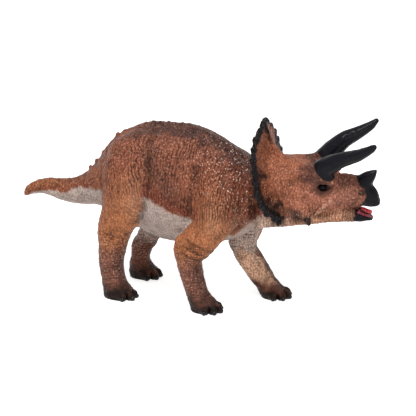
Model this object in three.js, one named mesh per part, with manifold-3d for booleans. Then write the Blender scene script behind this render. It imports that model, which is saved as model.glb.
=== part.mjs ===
// Toy dinosaur figure: a hand-painted vinyl horned dinosaur whose moulded pieces plug together.
// Millimetres, +X to the nose, +Y to the figure's left side, +Z up, the feet on Z = 0.

import * as THREE from 'three';
import { mergeVertices } from 'three/addons/utils/BufferGeometryUtils.js';
import ManifoldModule from 'manifold-3d';

// Trunk
const torsoLength = 84;
const torsoDepth = 57;
const torsoWidth = 47;
const bellyHeight = 29;
const shellWall = 3;
const pinRadius = 1.6;
const pinLength = 4;
const pinBossRadius = 3.8;

// Tail
const tailLength = 42;
const tailPegRadius = 4.5;
const tailPegLength = 7;

// Legs
const thighLength = 25;
const upperArmLength = 20;
const toeLength = 2.8;
const toeWidth = 2;
const toeHeight = 2.7;
const legPegRadius = 4.2;
const legPegLength = 5.5;
const legPegRoot = 2.5;

// Head
const headLength = 59.2;
const headHeight = 36;
const headWidth = 30;
const headYaw = THREE.MathUtils.degToRad(12);
const headRoll = THREE.MathUtils.degToRad(5);
const neckPegRadius = 5;
const neckPegLength = 8;
const jugalSpikeLength = 7.6;
const jugalSpikeRadius = 3;
const eyeRadius = 2.1;

// Frill
const frillWidth = 54.8;
const frillHeight = 33.4;
const frillDepth = 14;
const frillEdge = 2.6;
const frillRidgeRadius = 1.8;
const frillKnobRadius = 1.9;

// Horns
const browHornLength = 31;
const browHornRadius = 5.2;
const noseHornLength = 8.4;
const noseHornRadius = 3.4;
const browPegLength = 4.5;
const nosePegLength = 3.5;

// Jaw and tongue
const jawPegRadius = 2.2;
const jawPegLength = 4.5;
const tongueLength = 8.5;
const tongueWidth = 5.6;
const tongueHeight = 3;
const tonguePegRadius = 0.9;
const tonguePegLength = 2.6;

// Fits and cuts
const fitGap = 0.3;
const overrun = 3 * torsoLength;
const weld = 1e-4;

// Trunk sections from rump to neck: along, back, belly, half width
const torsoShares = [
  [0, 0.69, 0.2, 0.21],
  [0.036, 0.76, 0.18, 0.265],
  [0.08, 0.82, 0.16, 0.32],
  [0.167, 0.915, 0.12, 0.395],
  [0.286, 0.975, 0.045, 0.455],
  [0.405, 1, 0, 0.5],
  [0.524, 0.997, 0, 0.5],
  [0.643, 0.958, 0.02, 0.46],
  [0.762, 0.89, 0.06, 0.395],
  [0.857, 0.81, 0.13, 0.335],
  [0.929, 0.745, 0.22, 0.3],
  [1, 0.69, 0.29, 0.285],
];
const widestShare = 0.45;

// Hip and shoulder muscles: along, outward, up, then half length, half width and half height
const muscleShares = [
  [0.262, 0.234, 0.75, 0.18, 0.19, 0.166],
  [0.786, 0.234, 0.5, 0.137, 0.153, 0.263],
];
const pinPlaceShares = [[0.33, 0.8], [0.62, 0.76], [0.47, 0.2]];

// Tail sections from tip to root: along the tail, top and bottom in trunk depths, half width
const tailShares = [
  [0, 0.238, 0.189, 0.025],
  [0.079, 0.285, 0.216, 0.045],
  [0.238, 0.336, 0.232, 0.068],
  [0.452, 0.351, 0.204, 0.095],
  [0.667, 0.409, 0.192, 0.13],
  [0.748, 0.45, 0.2, 0.148],
  [0.821, 0.501, 0.208, 0.165],
  [0.895, 0.574, 0.212, 0.185],
  [1, 0.69, 0.2, 0.21],
];

// Leg sections from sole to top: height, forward, half length, outward, half width
const hindRightShares = [
  [0, -0.224, 0.288, 0.323, 0.115],
  [0.027, -0.22, 0.312, 0.323, 0.122],
  [0.06, -0.244, 0.292, 0.325, 0.118],
  [0.11, -0.312, 0.24, 0.332, 0.11],
  [0.19, -0.36, 0.232, 0.338, 0.105],
  [0.27, -0.364, 0.248, 0.345, 0.11],
  [0.35, -0.324, 0.276, 0.35, 0.12],
  [0.43, -0.28, 0.32, 0.355, 0.14],
  [0.515, -0.2, 0.36, 0.36, 0.15],
  [0.6, -0.1, 0.4, 0.365, 0.16],
  [0.7, -0.02, 0.47, 0.37, 0.165],
  [0.8, 0, 0.5, 0.37, 0.165],
  [0.89, 0, 0.46, 0.36, 0.155],
  [0.96, -0.01, 0.34, 0.34, 0.12],
  [1, -0.02, 0.1, 0.32, 0.04],
];
const hindLeftShares = [
  [0, -0.256, 0.272, 0.323, 0.115],
  [0.027, -0.252, 0.296, 0.323, 0.122],
  [0.06, -0.28, 0.264, 0.325, 0.118],
  [0.107, -0.344, 0.192, 0.332, 0.105],
  [0.16, -0.324, 0.188, 0.338, 0.1],
  [0.216, -0.28, 0.232, 0.34, 0.105],
  [0.27, -0.2, 0.24, 0.345, 0.11],
  [0.35, -0.056, 0.256, 0.35, 0.12],
  [0.43, 0.07, 0.3, 0.355, 0.14],
  [0.53, 0.13, 0.37, 0.36, 0.15],
  [0.62, 0.12, 0.43, 0.365, 0.16],
  [0.72, 0.08, 0.48, 0.37, 0.165],
  [0.8, 0.04, 0.5, 0.37, 0.165],
  [0.89, 0.02, 0.46, 0.36, 0.155],
  [0.96, 0, 0.34, 0.34, 0.12],
  [1, 0, 0.1, 0.32, 0.04],
];
const frontRightShares = [
  [0, -0.475, 0.335, 0.328, 0.115],
  [0.03, -0.47, 0.365, 0.328, 0.124],
  [0.066, -0.535, 0.35, 0.33, 0.12],
  [0.126, -0.655, 0.285, 0.336, 0.111],
  [0.18, -0.725, 0.27, 0.343, 0.109],
  [0.3, -0.82, 0.29, 0.35, 0.11],
  [0.355, -0.855, 0.305, 0.355, 0.115],
  [0.385, -0.84, 0.34, 0.36, 0.12],
  [0.42, -0.765, 0.415, 0.37, 0.13],
  [0.463, -0.69, 0.47, 0.375, 0.14],
  [0.52, -0.58, 0.49, 0.378, 0.145],
  [0.59, -0.4, 0.5, 0.378, 0.15],
  [0.68, -0.2, 0.5, 0.37, 0.15],
  [0.79, -0.05, 0.475, 0.36, 0.145],
  [0.88, 0, 0.4, 0.34, 0.125],
  [0.955, 0, 0.25, 0.32, 0.09],
  [1, 0, 0.1, 0.3, 0.04],
];
const frontLeftShares = [
  [0, 0.66, 0.32, 0.328, 0.115],
  [0.028, 0.645, 0.355, 0.328, 0.124],
  [0.055, 0.58, 0.345, 0.33, 0.12],
  [0.08, 0.49, 0.32, 0.334, 0.115],
  [0.13, 0.295, 0.32, 0.345, 0.115],
  [0.185, 0.165, 0.35, 0.345, 0.11],
  [0.24, 0.025, 0.365, 0.35, 0.11],
  [0.29, -0.09, 0.35, 0.355, 0.115],
  [0.347, -0.19, 0.3, 0.36, 0.12],
  [0.44, -0.15, 0.375, 0.37, 0.135],
  [0.56, -0.05, 0.45, 0.375, 0.145],
  [0.68, 0.05, 0.475, 0.37, 0.15],
  [0.79, 0.1, 0.475, 0.36, 0.145],
  [0.88, 0.08, 0.4, 0.34, 0.125],
  [0.955, 0.05, 0.25, 0.32, 0.09],
  [1, 0.04, 0.1, 0.3, 0.04],
];
const hipAlongShare = 0.226;
const hipTopShare = 0.796;
const hipPegShare = 0.76;
const shoulderAlongShare = 0.81;
const shoulderTopShare = 0.676;
const shoulderPegShare = 0.69;
const toeReachShare = 0.92;
const hindToeAngles = [-66, -23, 23, 66].map(THREE.MathUtils.degToRad);
const frontToeAngles = [-80, -42, 0, 42, 80].map(THREE.MathUtils.degToRad);

// Where the head's frame sits on the neck: along, to the left, up
const neckPlaceShares = [0.929, 0.043, 0.531];

// Head sections from neck to beak: along, top, bottom, half width
const headShares = [
  [0, 0.39, -0.495, 0.46],
  [0.07, 0.425, -0.495, 0.475],
  [0.16, 0.46, -0.48, 0.475],
  [0.26, 0.468, -0.455, 0.453],
  [0.365, 0.452, -0.42, 0.43],
  [0.465, 0.41, -0.4, 0.4],
  [0.565, 0.345, -0.385, 0.36],
  [0.67, 0.262, -0.375, 0.29],
  [0.77, 0.232, -0.37, 0.227],
  [0.855, 0.208, -0.362, 0.183],
  [0.915, 0.165, -0.34, 0.14],
  [0.96, 0.08, -0.24, 0.095],
  [0.99, -0.04, -0.14, 0.035],
];

// Line of the mouth from cheek to beak: along, up. The jaw lies below it.
const jawSeatShares = [[0.37, -0.6], [0.43, -0.24], [0.8, -0.15]];
const jawFrontShares = [[1.1, -0.43], [1.1, -0.6]];
const mouthRoofShares = [[1.1, -0.155], [1.1, -0.6]];
const jawPegShares = [0.6, -0.2];
const tonguePlaceShares = [0.87, -0.2];

// Frill rim from its top down one side: forward, outward, up
const frillRimShares = [
  [0.3, 0, 1],
  [0.243, 0.292, 0.94],
  [0.186, 0.584, 0.814],
  [0.271, 0.788, 0.653],
  [0.357, 0.927, 0.467],
  [0.429, 0.993, 0.299],
  [0.514, 1, 0.162],
  [0.614, 0.964, 0.027],
  [0.786, 0.861, -0.108],
  [0.943, 0.708, -0.204],
  [0.943, 0.401, -0.281],
];
const frillFootShares = [0.943, 0, -0.299];
const frillHubShares = [1.14, 0, 0.21];
const frillRingShares = [0.3, 0.55, 0.8, 1];
const frillThickening = 1.3;
const frillKnobCount = 17;
const frillKnobStartShare = 0.17;
const frillRidgeShares = [
  [0.27, 0, 0.958], [0.386, 0, 0.784], [0.486, 0, 0.683], [0.63, 0, 0.587], [0.814, 0, 0.503],
];
const frillRidgeRadiusShares = [0.6, 0.8, 0.9, 0.95, 1];

// Cheek spikes, brows and eyes: along, outward, up
const jugalPlaceShares = [0.43, 0.3, -0.125];
const jugalTipShares = [0.03, 0.15, -0.11];
const browPlaceShares = [0.473, 0.2, 0.29];
const browSizeShares = [0.135, 0.18, 0.178];
const eyePlaceShares = [0.554, 0.345, 0.178];

// Horn routes from the seat to the tip, and their radii
const browSeatShares = [0.53, 0.217, 0.43];
const browRightShares = [
  [0, 0, 0], [0.1, 0.02, 0.075], [0.24, 0.05, 0.175], [0.42, 0.09, 0.265],
  [0.63, 0.17, 0.36], [0.84, 0.25, 0.49], [0.915, 0.28, 0.57],
];
const browLeftShares = [
  [0, 0, 0], [0.08, 0.02, 0.1], [0.17, 0.05, 0.2], [0.31, 0.09, 0.29],
  [0.47, 0.16, 0.375], [0.66, 0.24, 0.475], [0.76, 0.28, 0.575],
];
const browRadiusShares = [1, 0.95, 0.84, 0.7, 0.55, 0.36, 0.18];
const noseSeatShares = [0.85, 0, 0.22];
const noseRouteShares = [[0, 0, 0], [0.16, 0, 0.22], [0.42, 0, 0.44], [0.73, 0, 0.62]];
const noseRadiusShares = [1, 0.78, 0.42, 0.12];
const collarShares = [1.4, 1.07];
const pegShare = 0.5;

const wasm = await ManifoldModule();
wasm.setup();

// Shared shapes

function solidOf(geometry) {
  geometry.deleteAttribute('normal');
  geometry.deleteAttribute('uv');
  const merged = mergeVertices(geometry, weld);
  return new wasm.Manifold(new wasm.Mesh({
    numProp: 3,
    vertProperties: new Float32Array(merged.attributes.position.array),
    triVerts: new Uint32Array(merged.index.array),
  }));
}

function geometryOf(solid) {
  const mesh = solid.getMesh();
  const geometry = new THREE.BufferGeometry();
  geometry.setAttribute('position', new THREE.BufferAttribute(mesh.vertProperties, 3));
  geometry.setIndex(new THREE.BufferAttribute(mesh.triVerts, 1));
  geometry.computeVertexNormals();
  return geometry;
}

function joined(solids) {
  return solids.reduce((whole, solid) => whole.add(solid));
}

function cut(solid, tools) {
  return tools.reduce((rest, tool) => rest.subtract(tool), solid);
}

function middle(points) {
  const sum = points.reduce((total, point) => total.add(point), new THREE.Vector3());
  return sum.divideScalar(points.length);
}

// Closed form through rings of equal count, each end closed by a fan to the ring's middle
function loft(rings) {
  const sides = rings[0].length;
  const points = [...rings.flat(), middle(rings[0]), middle(rings.at(-1))];
  const lastRing = (rings.length - 1) * sides;
  const firstCap = points.length - 2;
  const lastCap = points.length - 1;
  const triangles = [];
  for (let side = 0; side < sides; side += 1) {
    const next = (side + 1) % sides;
    for (let ring = 0; ring < lastRing; ring += sides) {
      triangles.push([ring + side, ring + next, ring + sides + side]);
      triangles.push([ring + next, ring + sides + next, ring + sides + side]);
    }
    triangles.push([firstCap, next, side]);
    triangles.push([lastCap, lastRing + side, lastRing + next]);
  }
  return solidOf(facingOut(points, triangles));
}

function facingOut(points, triangles) {
  const volume = triangles.reduce((sum, [a, b, c]) => {
    const normal = new THREE.Vector3().crossVectors(points[b], points[c]);
    return sum + points[a].dot(normal);
  }, 0);
  const order = volume > 0 ? triangles : triangles.map(([a, b, c]) => [a, c, b]);
  const geometry = new THREE.BufferGeometry().setFromPoints(points);
  geometry.setIndex(order.flat());
  return geometry;
}

// Upright section of a body that is widest below the middle of its height
function bodySection(x, top, bottom, halfWidth, sides) {
  const widest = THREE.MathUtils.lerp(bottom, top, widestShare);
  return turnedPoints(sides, (cosine, sine) => {
    const reach = sine > 0 ? top - widest : widest - bottom;
    return new THREE.Vector3(x, halfWidth * cosine, widest + reach * sine);
  });
}

function turnedPoints(count, placeOf) {
  return Array.from({ length: count }, (_, index) => {
    const angle = (index / count) * 2 * Math.PI;
    return placeOf(Math.cos(angle), Math.sin(angle));
  });
}

// Round tube that tapers along a smooth route
function taperedTube(route, radii, sides) {
  const steps = radii.length - 1;
  const curve = new THREE.CatmullRomCurve3(route);
  const frames = curve.computeFrenetFrames(steps);
  const rings = radii.map((radius, step) => {
    const centre = curve.getPointAt(step / steps);
    return turnedPoints(sides, (cosine, sine) => centre.clone()
      .addScaledVector(frames.normals[step], radius * cosine)
      .addScaledVector(frames.binormals[step], radius * sine));
  });
  return loft(rings);
}

function rodBetween(start, end, startRadius, endRadius = startRadius, sides = 14) {
  const along = end.clone().sub(start);
  const geometry = new THREE.CylinderGeometry(endRadius, startRadius, along.length(), sides);
  const up = new THREE.Vector3(0, 1, 0);
  geometry.applyQuaternion(new THREE.Quaternion().setFromUnitVectors(up, along.clone().normalize()));
  const centre = start.clone().lerp(end, 0.5);
  geometry.translate(centre.x, centre.y, centre.z);
  return solidOf(geometry);
}

function block(low, high) {
  const size = high.clone().sub(low);
  const geometry = new THREE.BoxGeometry(size.x, size.y, size.z);
  const centre = low.clone().lerp(high, 0.5);
  geometry.translate(centre.x, centre.y, centre.z);
  return solidOf(geometry);
}

function roundLump(centre, halfSizes, detail = 1) {
  const geometry = new THREE.IcosahedronGeometry(1, detail);
  geometry.scale(halfSizes.x, halfSizes.y, halfSizes.z);
  geometry.translate(centre.x, centre.y, centre.z);
  return solidOf(geometry);
}

// Flat-sided prism across the head, from an outline in along and up
function crossPrism(outline, halfWidth) {
  const geometry = new THREE.ExtrudeGeometry(new THREE.Shape(outline), { depth: 2 * halfWidth, bevelEnabled: false });
  geometry.rotateX(Math.PI / 2);
  geometry.translate(0, halfWidth, 0);
  return solidOf(geometry);
}

// Trunk

function torsoHalfWidthAt(alongShare) {
  const keys = torsoShares.map((row) => row[0]);
  const columns = torsoShares[0].length;
  const sections = new THREE.LinearInterpolant(keys, torsoShares.flat(), columns);
  return sections.evaluate(alongShare).at(-1) * torsoWidth;
}

const headMatrix = new THREE.Matrix4()
  .makeRotationFromEuler(new THREE.Euler(headRoll, 0, headYaw, 'ZYX'))
  .setPosition(
    neckPlaceShares[0] * torsoLength,
    neckPlaceShares[1] * torsoWidth,
    bellyHeight + neckPlaceShares[2] * torsoDepth,
  );

function inHeadFrame(solid) {
  return solid.transform(headMatrix.elements);
}

function beyondNeck(offset) {
  const low = new THREE.Vector3(offset, -overrun, -overrun);
  return inHeadFrame(block(low, new THREE.Vector3(overrun, overrun, overrun)));
}

// Muscles over the hips and shoulders, swollen or shrunk like the trunk
function muscles(offset) {
  return muscleShares.flatMap(([along, outward, up, halfLength, halfWidth, halfHeight]) => (
    [-1, 1].map((side) => roundLump(
      new THREE.Vector3(along * torsoLength, side * outward * torsoWidth, bellyHeight + up * torsoDepth),
      new THREE.Vector3(
        halfLength * torsoLength + offset,
        halfWidth * torsoWidth + offset,
        halfHeight * torsoDepth + offset,
      ),
    ))
  ));
}

// The trunk's form, swollen or shrunk all round, and cut square to the head at the neck
function torsoForm(offset, sides) {
  const rings = torsoShares.map(([along, top, bottom, halfWidth]) => bodySection(
    THREE.MathUtils.lerp(-offset, torsoLength + offset, along),
    bellyHeight + top * torsoDepth + offset,
    bellyHeight + bottom * torsoDepth - offset,
    halfWidth * torsoWidth + offset,
    sides,
  ));
  return cut(joined([loft(rings), ...muscles(offset)]), [beyondNeck(offset)]);
}

const torsoOutside = torsoForm(0, 24);
const torsoKeepOut = torsoForm(fitGap, 24);

function legPegPlace(leg) {
  const y = leg.side * torsoHalfWidthAt(leg.alongShare);
  return new THREE.Vector3(leg.alongShare * torsoLength, y, leg.pegShare * leg.height);
}

function legPeg(leg, radius, outward, inward) {
  const place = legPegPlace(leg);
  const start = place.clone().setY(place.y + leg.side * outward);
  const end = place.clone().setY(place.y - leg.side * inward);
  return rodBetween(start, end, radius);
}

const rumpMiddle = new THREE.Vector3(
  0,
  0,
  bellyHeight + torsoDepth * (torsoShares[0][1] + torsoShares[0][2]) / 2,
);

function tailPeg(radius, backward, forward) {
  const start = rumpMiddle.clone().setX(-backward);
  return rodBetween(start, rumpMiddle.clone().setX(forward), radius);
}

function neckPeg(radius, forward, backward) {
  const start = new THREE.Vector3(-backward, 0, 0);
  return inHeadFrame(rodBetween(start, new THREE.Vector3(forward, 0, 0), radius));
}

function pinRod(placeShares, radius, from, to) {
  const x = placeShares[0] * torsoLength;
  const z = bellyHeight + placeShares[1] * torsoDepth;
  return rodBetween(new THREE.Vector3(x, from, z), new THREE.Vector3(x, to, z), radius);
}

// Hollow trunk with a solid boss round every socket, before it is split
function hollowTorso(legs) {
  const bossDepth = legPegLength + fitGap + shellWall;
  const bosses = [
    ...legs.map((leg) => legPeg(leg, legPegRadius + shellWall, bossDepth, bossDepth)),
    tailPeg(tailPegRadius + shellWall, 0, tailPegLength + fitGap + shellWall),
    neckPeg(neckPegRadius + shellWall, 0, neckPegLength + fitGap + shellWall),
    ...pinPlaceShares.map((place) => pinRod(place, pinBossRadius, -torsoWidth, torsoWidth)),
  ];
  const shell = cut(torsoOutside, [torsoForm(-shellWall, 16)]);
  const sockets = [
    ...legs.map((leg) => legPeg(leg, legPegRadius + fitGap, bossDepth, legPegLength + fitGap)),
    tailPeg(tailPegRadius + fitGap, overrun, tailPegLength + fitGap),
    neckPeg(neckPegRadius + fitGap, overrun, neckPegLength + fitGap),
  ];
  return cut(shell.add(joined(bosses).intersect(torsoOutside)), sockets);
}

function halfSpace(side) {
  const inner = side * fitGap / 2;
  const outer = side * overrun;
  const low = new THREE.Vector3(-overrun, Math.min(inner, outer), -overrun);
  return block(low, new THREE.Vector3(overrun, Math.max(inner, outer), overrun));
}

function torsoRightShell(hollow) {
  const pins = pinPlaceShares.map((place) => pinRod(place, pinRadius, -pinLength, pinLength));
  return hollow.intersect(halfSpace(-1)).add(joined(pins));
}

function torsoLeftShell(hollow) {
  const depth = pinLength + fitGap;
  const holes = pinPlaceShares.map((place) => pinRod(place, pinRadius + fitGap, -depth, depth));
  return cut(hollow.intersect(halfSpace(1)), holes);
}

// Tail

function tail() {
  const rings = tailShares.map(([along, top, bottom, halfWidth]) => bodySection(
    -fitGap - (1 - along) * tailLength,
    bellyHeight + top * torsoDepth,
    bellyHeight + bottom * torsoDepth,
    halfWidth * torsoWidth,
    16,
  ));
  return loft(rings).add(tailPeg(tailPegRadius, shellWall, tailPegLength));
}

// Legs

const hipHeight = bellyHeight + hipTopShare * torsoDepth;
const shoulderHeight = bellyHeight + shoulderTopShare * torsoDepth;
const hindLeg = {
  alongShare: hipAlongShare,
  pegShare: hipPegShare,
  height: hipHeight,
  length: thighLength,
  toeAngles: hindToeAngles,
};
const frontLeg = {
  alongShare: shoulderAlongShare,
  pegShare: shoulderPegShare,
  height: shoulderHeight,
  length: upperArmLength,
  toeAngles: frontToeAngles,
};
const hindLegRight = { ...hindLeg, side: -1, shares: hindRightShares };
const hindLegLeft = { ...hindLeg, side: 1, shares: hindLeftShares };
const frontLegRight = { ...frontLeg, side: -1, shares: frontRightShares };
const frontLegLeft = { ...frontLeg, side: 1, shares: frontLeftShares };
const allLegs = [hindLegRight, hindLegLeft, frontLegRight, frontLegLeft];

function legSection(leg, row) {
  const [up, forward, halfLength, outward, halfWidth] = row;
  const centre = new THREE.Vector3(
    leg.alongShare * torsoLength + forward * leg.length,
    leg.side * outward * torsoWidth,
    up * leg.height,
  );
  return { centre, halfLength: halfLength * leg.length, halfWidth: halfWidth * torsoWidth };
}

function toes(leg) {
  const foot = legSection(leg, leg.shares[1]);
  return leg.toeAngles.map((angle) => roundLump(
    new THREE.Vector3(
      foot.centre.x + foot.halfLength * toeReachShare * Math.cos(angle),
      foot.centre.y + foot.halfWidth * toeReachShare * Math.sin(angle),
      foot.centre.z,
    ),
    new THREE.Vector3(toeLength, toeWidth, toeHeight),
  ));
}

function legPiece(leg) {
  const rings = leg.shares.map((row) => {
    const { centre, halfLength, halfWidth } = legSection(leg, row);
    return turnedPoints(16, (cosine, sine) => new THREE.Vector3(
      centre.x + halfLength * cosine,
      centre.y + halfWidth * sine,
      centre.z,
    ));
  });
  const ground = block(
    new THREE.Vector3(-overrun, -overrun, -overrun),
    new THREE.Vector3(overrun, overrun, 0),
  );
  const keepOut = [ground, torsoKeepOut, inHeadFrame(headForm(fitGap))];
  const limb = cut(joined([loft(rings), ...toes(leg)]), keepOut);
  return limb.add(legPeg(leg, legPegRadius, legPegRoot, legPegLength));
}

// Head

function headPoint([along, outward, up], side = 1) {
  return new THREE.Vector3(along * headLength, side * outward * headWidth, up * headHeight);
}

function headForm(offset) {
  const rings = headShares.map(([along, top, bottom, halfWidth]) => bodySection(
    THREE.MathUtils.lerp(-offset, headLength + offset, along),
    top * headHeight + offset,
    bottom * headHeight - offset,
    halfWidth * headWidth + offset,
    22,
  ));
  return loft(rings);
}

function frillPoint([forward, outward, up], side) {
  return new THREE.Vector3(forward * frillDepth, side * outward * frillWidth / 2, up * frillHeight);
}

const frillRim = new THREE.CatmullRomCurve3([
  ...frillRimShares.map((place) => frillPoint(place, 1)),
  frillPoint(frillFootShares, 1),
  ...frillRimShares.slice(1).reverse().map((place) => frillPoint(place, -1)),
], true);

// Rim drawn in towards the hub, where the plate rises into the skull
function frillRing(share, backward) {
  const hub = frillPoint(frillHubShares, 1);
  return frillRim.getPoints(36).slice(0, -1).map((rim) => {
    const point = hub.clone().lerp(rim, share);
    const rise = (1 - share) ** 2;
    return point.setX(THREE.MathUtils.lerp(rim.x, hub.x, rise) - backward);
  });
}

function frillPlate() {
  const back = frillRingShares.map((share) => {
    const thickness = frillEdge * (1 + (1 - share) * frillThickening);
    return frillRing(share, thickness);
  });
  const front = frillRingShares.toReversed().map((share) => frillRing(share, 0));
  return loft([...back, ...front]);
}

function frillKnobs() {
  const halfSizes = new THREE.Vector3(frillKnobRadius, frillKnobRadius, frillKnobRadius);
  return Array.from({ length: frillKnobCount }, (_, index) => {
    const spread = index / (frillKnobCount - 1) - 1 / 2;
    const along = (1 + spread * (1 - frillKnobStartShare * 2)) % 1;
    const place = frillRim.getPointAt(along);
    return roundLump(place.setX(place.x - frillEdge / 2), halfSizes);
  });
}

function frillRidge() {
  const route = frillRidgeShares.map((place) => frillPoint(place, 1));
  const radii = frillRidgeRadiusShares.map((share) => share * frillRidgeRadius);
  return taperedTube(route, radii, 8);
}

function browLump(side) {
  const [halfLength, halfWidth, halfHeight] = headPoint(browSizeShares).toArray();
  return roundLump(headPoint(browPlaceShares, side), new THREE.Vector3(halfLength, halfWidth, halfHeight));
}

function jugalSpike(side) {
  const root = headPoint(jugalPlaceShares, side);
  const toTip = new THREE.Vector3(
    jugalTipShares[0],
    side * jugalTipShares[1],
    jugalTipShares[2],
  ).normalize();
  const tip = root.clone().addScaledVector(toTip, jugalSpikeLength);
  return rodBetween(root, tip, jugalSpikeRadius, jugalSpikeRadius / 5, 12);
}

function eyeLump(side) {
  return roundLump(
    headPoint(eyePlaceShares, side),
    new THREE.Vector3(eyeRadius, eyeRadius, eyeRadius),
  );
}

// Horns

function hornRoute(seat, shares, length, side) {
  return shares.map(([along, outward, up]) => new THREE.Vector3(
    seat.x + along * length,
    seat.y + side * outward * length,
    seat.z + up * length,
  ));
}

function browHorn(side, shares) {
  const seat = headPoint(browSeatShares, side);
  const radii = browRadiusShares.map((share) => share * browHornRadius);
  return { route: hornRoute(seat, shares, browHornLength, side), radii, pegLength: browPegLength };
}

const browRight = browHorn(-1, browRightShares);
const browLeft = browHorn(1, browLeftShares);
const noseHorn = {
  route: hornRoute(headPoint(noseSeatShares), noseRouteShares, noseHornLength, 1),
  radii: noseRadiusShares.map((share) => share * noseHornRadius),
  pegLength: nosePegLength,
};
const allHorns = [browRight, browLeft, noseHorn];

function hornAxis(horn) {
  return new THREE.CatmullRomCurve3(horn.route).getTangentAt(0);
}

function onHornAxis(horn, distance) {
  return horn.route[0].clone().addScaledVector(hornAxis(horn), distance);
}

function hornPeg(horn, gap) {
  const radius = horn.radii[0] * pegShare + gap;
  return rodBetween(onHornAxis(horn, -horn.pegLength - gap), onHornAxis(horn, horn.radii[0] / 2), radius);
}

function hornCollar(horn) {
  const foot = onHornAxis(horn, -horn.pegLength - horn.radii[0] / 2);
  const [footShare, rimShare] = collarShares;
  const top = onHornAxis(horn, -fitGap);
  return rodBetween(foot, top, horn.radii[0] * footShare, horn.radii[0] * rimShare);
}

// The horn with its peg, or the room that it takes in the skull when a gap is given
function hornPiece(horn, gap) {
  const route = [onHornAxis(horn, -gap), ...horn.route.slice(1)];
  return taperedTube(route, horn.radii.map((radius) => radius + gap), 12).add(hornPeg(horn, gap));
}

// Jaw and tongue, below and on the line of the mouth

function leftOf(start, end) {
  return new THREE.Vector2(start.y - end.y, end.x - start.x).normalize();
}

// Clockwise outline with every edge moved out by the same distance
function swollen(outline, distance) {
  return outline.map((point, index) => {
    const before = leftOf(outline.at(index - 1), point);
    const after = leftOf(point, outline[(index + 1) % outline.length]);
    const reach = distance / (1 + before.dot(after));
    return point.clone().addScaledVector(before, reach).addScaledVector(after, reach);
  });
}

function jawRegion(outlineShares, gap) {
  const outline = outlineShares.map(([along, up]) => (
    new THREE.Vector2(along * headLength, up * headHeight)
  ));
  return crossPrism(swollen(outline, gap), headWidth);
}

const jawSpace = [...jawSeatShares, ...jawFrontShares];
const mouthSpace = [...jawSeatShares, ...mouthRoofShares];

function jawPeg(gap) {
  const x = jawPegShares[0] * headLength;
  const z = jawPegShares[1] * headHeight;
  const start = new THREE.Vector3(x, 0, z - jawPegLength / 2);
  return rodBetween(start, new THREE.Vector3(x, 0, z + jawPegLength + gap), jawPegRadius + gap);
}

const tonguePlace = new THREE.Vector3(
  tonguePlaceShares[0] * headLength,
  0,
  tonguePlaceShares[1] * headHeight,
);

function tonguePeg(gap) {
  const start = tonguePlace.clone().setZ(tonguePlace.z + tongueHeight / 4);
  const end = tonguePlace.clone().setZ(tonguePlace.z - tonguePegLength - gap);
  return rodBetween(start, end, tonguePegRadius + gap, tonguePegRadius + gap, 10);
}

function lowerJaw() {
  const jaw = headForm(0).intersect(jawRegion(jawSpace, 0));
  return cut(jaw.add(jawPeg(0)), [tonguePeg(fitGap)]);
}

function tongue() {
  const halfSizes = new THREE.Vector3(tongueLength / 2, tongueWidth / 2, tongueHeight / 2);
  const lump = roundLump(tonguePlace, halfSizes, 2);
  return cut(lump, [jawRegion(jawSpace, fitGap)]).add(tonguePeg(0));
}

function head() {
  const skull = cut(headForm(0), [jawRegion(mouthSpace, fitGap)]);
  const trimmings = [
    frillPlate(),
    ...frillKnobs(),
    frillRidge(),
    ...[-1, 1].map(browLump),
    ...allHorns.map(hornCollar),
    ...[-1, 1].map(jugalSpike),
    ...[-1, 1].map(eyeLump),
  ];
  const whole = inHeadFrame(joined([skull, ...trimmings]));
  const sockets = [...allHorns.map((horn) => hornPiece(horn, fitGap)), jawPeg(fitGap)].map(inHeadFrame);
  return cut(whole, [torsoKeepOut, ...sockets]).add(neckPeg(neckPegRadius, shellWall, neckPegLength));
}

// Paint that each moulded piece is sprayed with

const skinOrange = { color: '#a5684f', roughness: 0.6 };
const skinBrown = { color: '#804d36', roughness: 0.6 };
const frillOrange = { color: '#8f5c4b', roughness: 0.55 };
const hornBlack = { color: '#2f2e34', roughness: 0.4 };
const jawTan = { color: '#976751', roughness: 0.6 };
const tongueRed = { color: '#80444b', roughness: 0.35 };

function named(name, solid, paint) {
  const material = new THREE.MeshStandardMaterial({ ...paint, metalness: 0 });
  const mesh = new THREE.Mesh(geometryOf(solid), material);
  mesh.name = name;
  return mesh;
}

const hollow = hollowTorso(allLegs);
const group = new THREE.Group();
group.name = 'toy_dinosaur';
group.add(
  named('torso_right_shell', torsoRightShell(hollow), skinBrown),
  named('torso_left_shell', torsoLeftShell(hollow), skinBrown),
  named('tail', tail(), skinBrown),
  named('hind_leg_right', legPiece(hindLegRight), skinOrange),
  named('hind_leg_left', legPiece(hindLegLeft), skinOrange),
  named('front_leg_right', legPiece(frontLegRight), skinOrange),
  named('front_leg_left', legPiece(frontLegLeft), skinOrange),
  named('head', head(), frillOrange),
  named('lower_jaw', inHeadFrame(lowerJaw()), jawTan),
  named('tongue', inHeadFrame(tongue()), tongueRed),
  named('brow_horn_right', inHeadFrame(hornPiece(browRight, 0)), hornBlack),
  named('brow_horn_left', inHeadFrame(hornPiece(browLeft, 0)), hornBlack),
  named('nose_horn', inHeadFrame(hornPiece(noseHorn, 0)), hornBlack),
);

// The origin lies on the ground under the middle of the figure
const bounds = new THREE.Box3().setFromObject(group);
const centre = bounds.getCenter(new THREE.Vector3());
group.position.set(-centre.x, -centre.y, -bounds.min.z);

export default group;
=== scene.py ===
# Toy dinosaur figure: the looks of a hand-painted vinyl horned dinosaur, modelled like clay round
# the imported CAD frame, split along its moulded joints and airbrushed.
import math

import bpy
import numpy as np
import openvdb
from mathutils import Matrix, Vector


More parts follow.
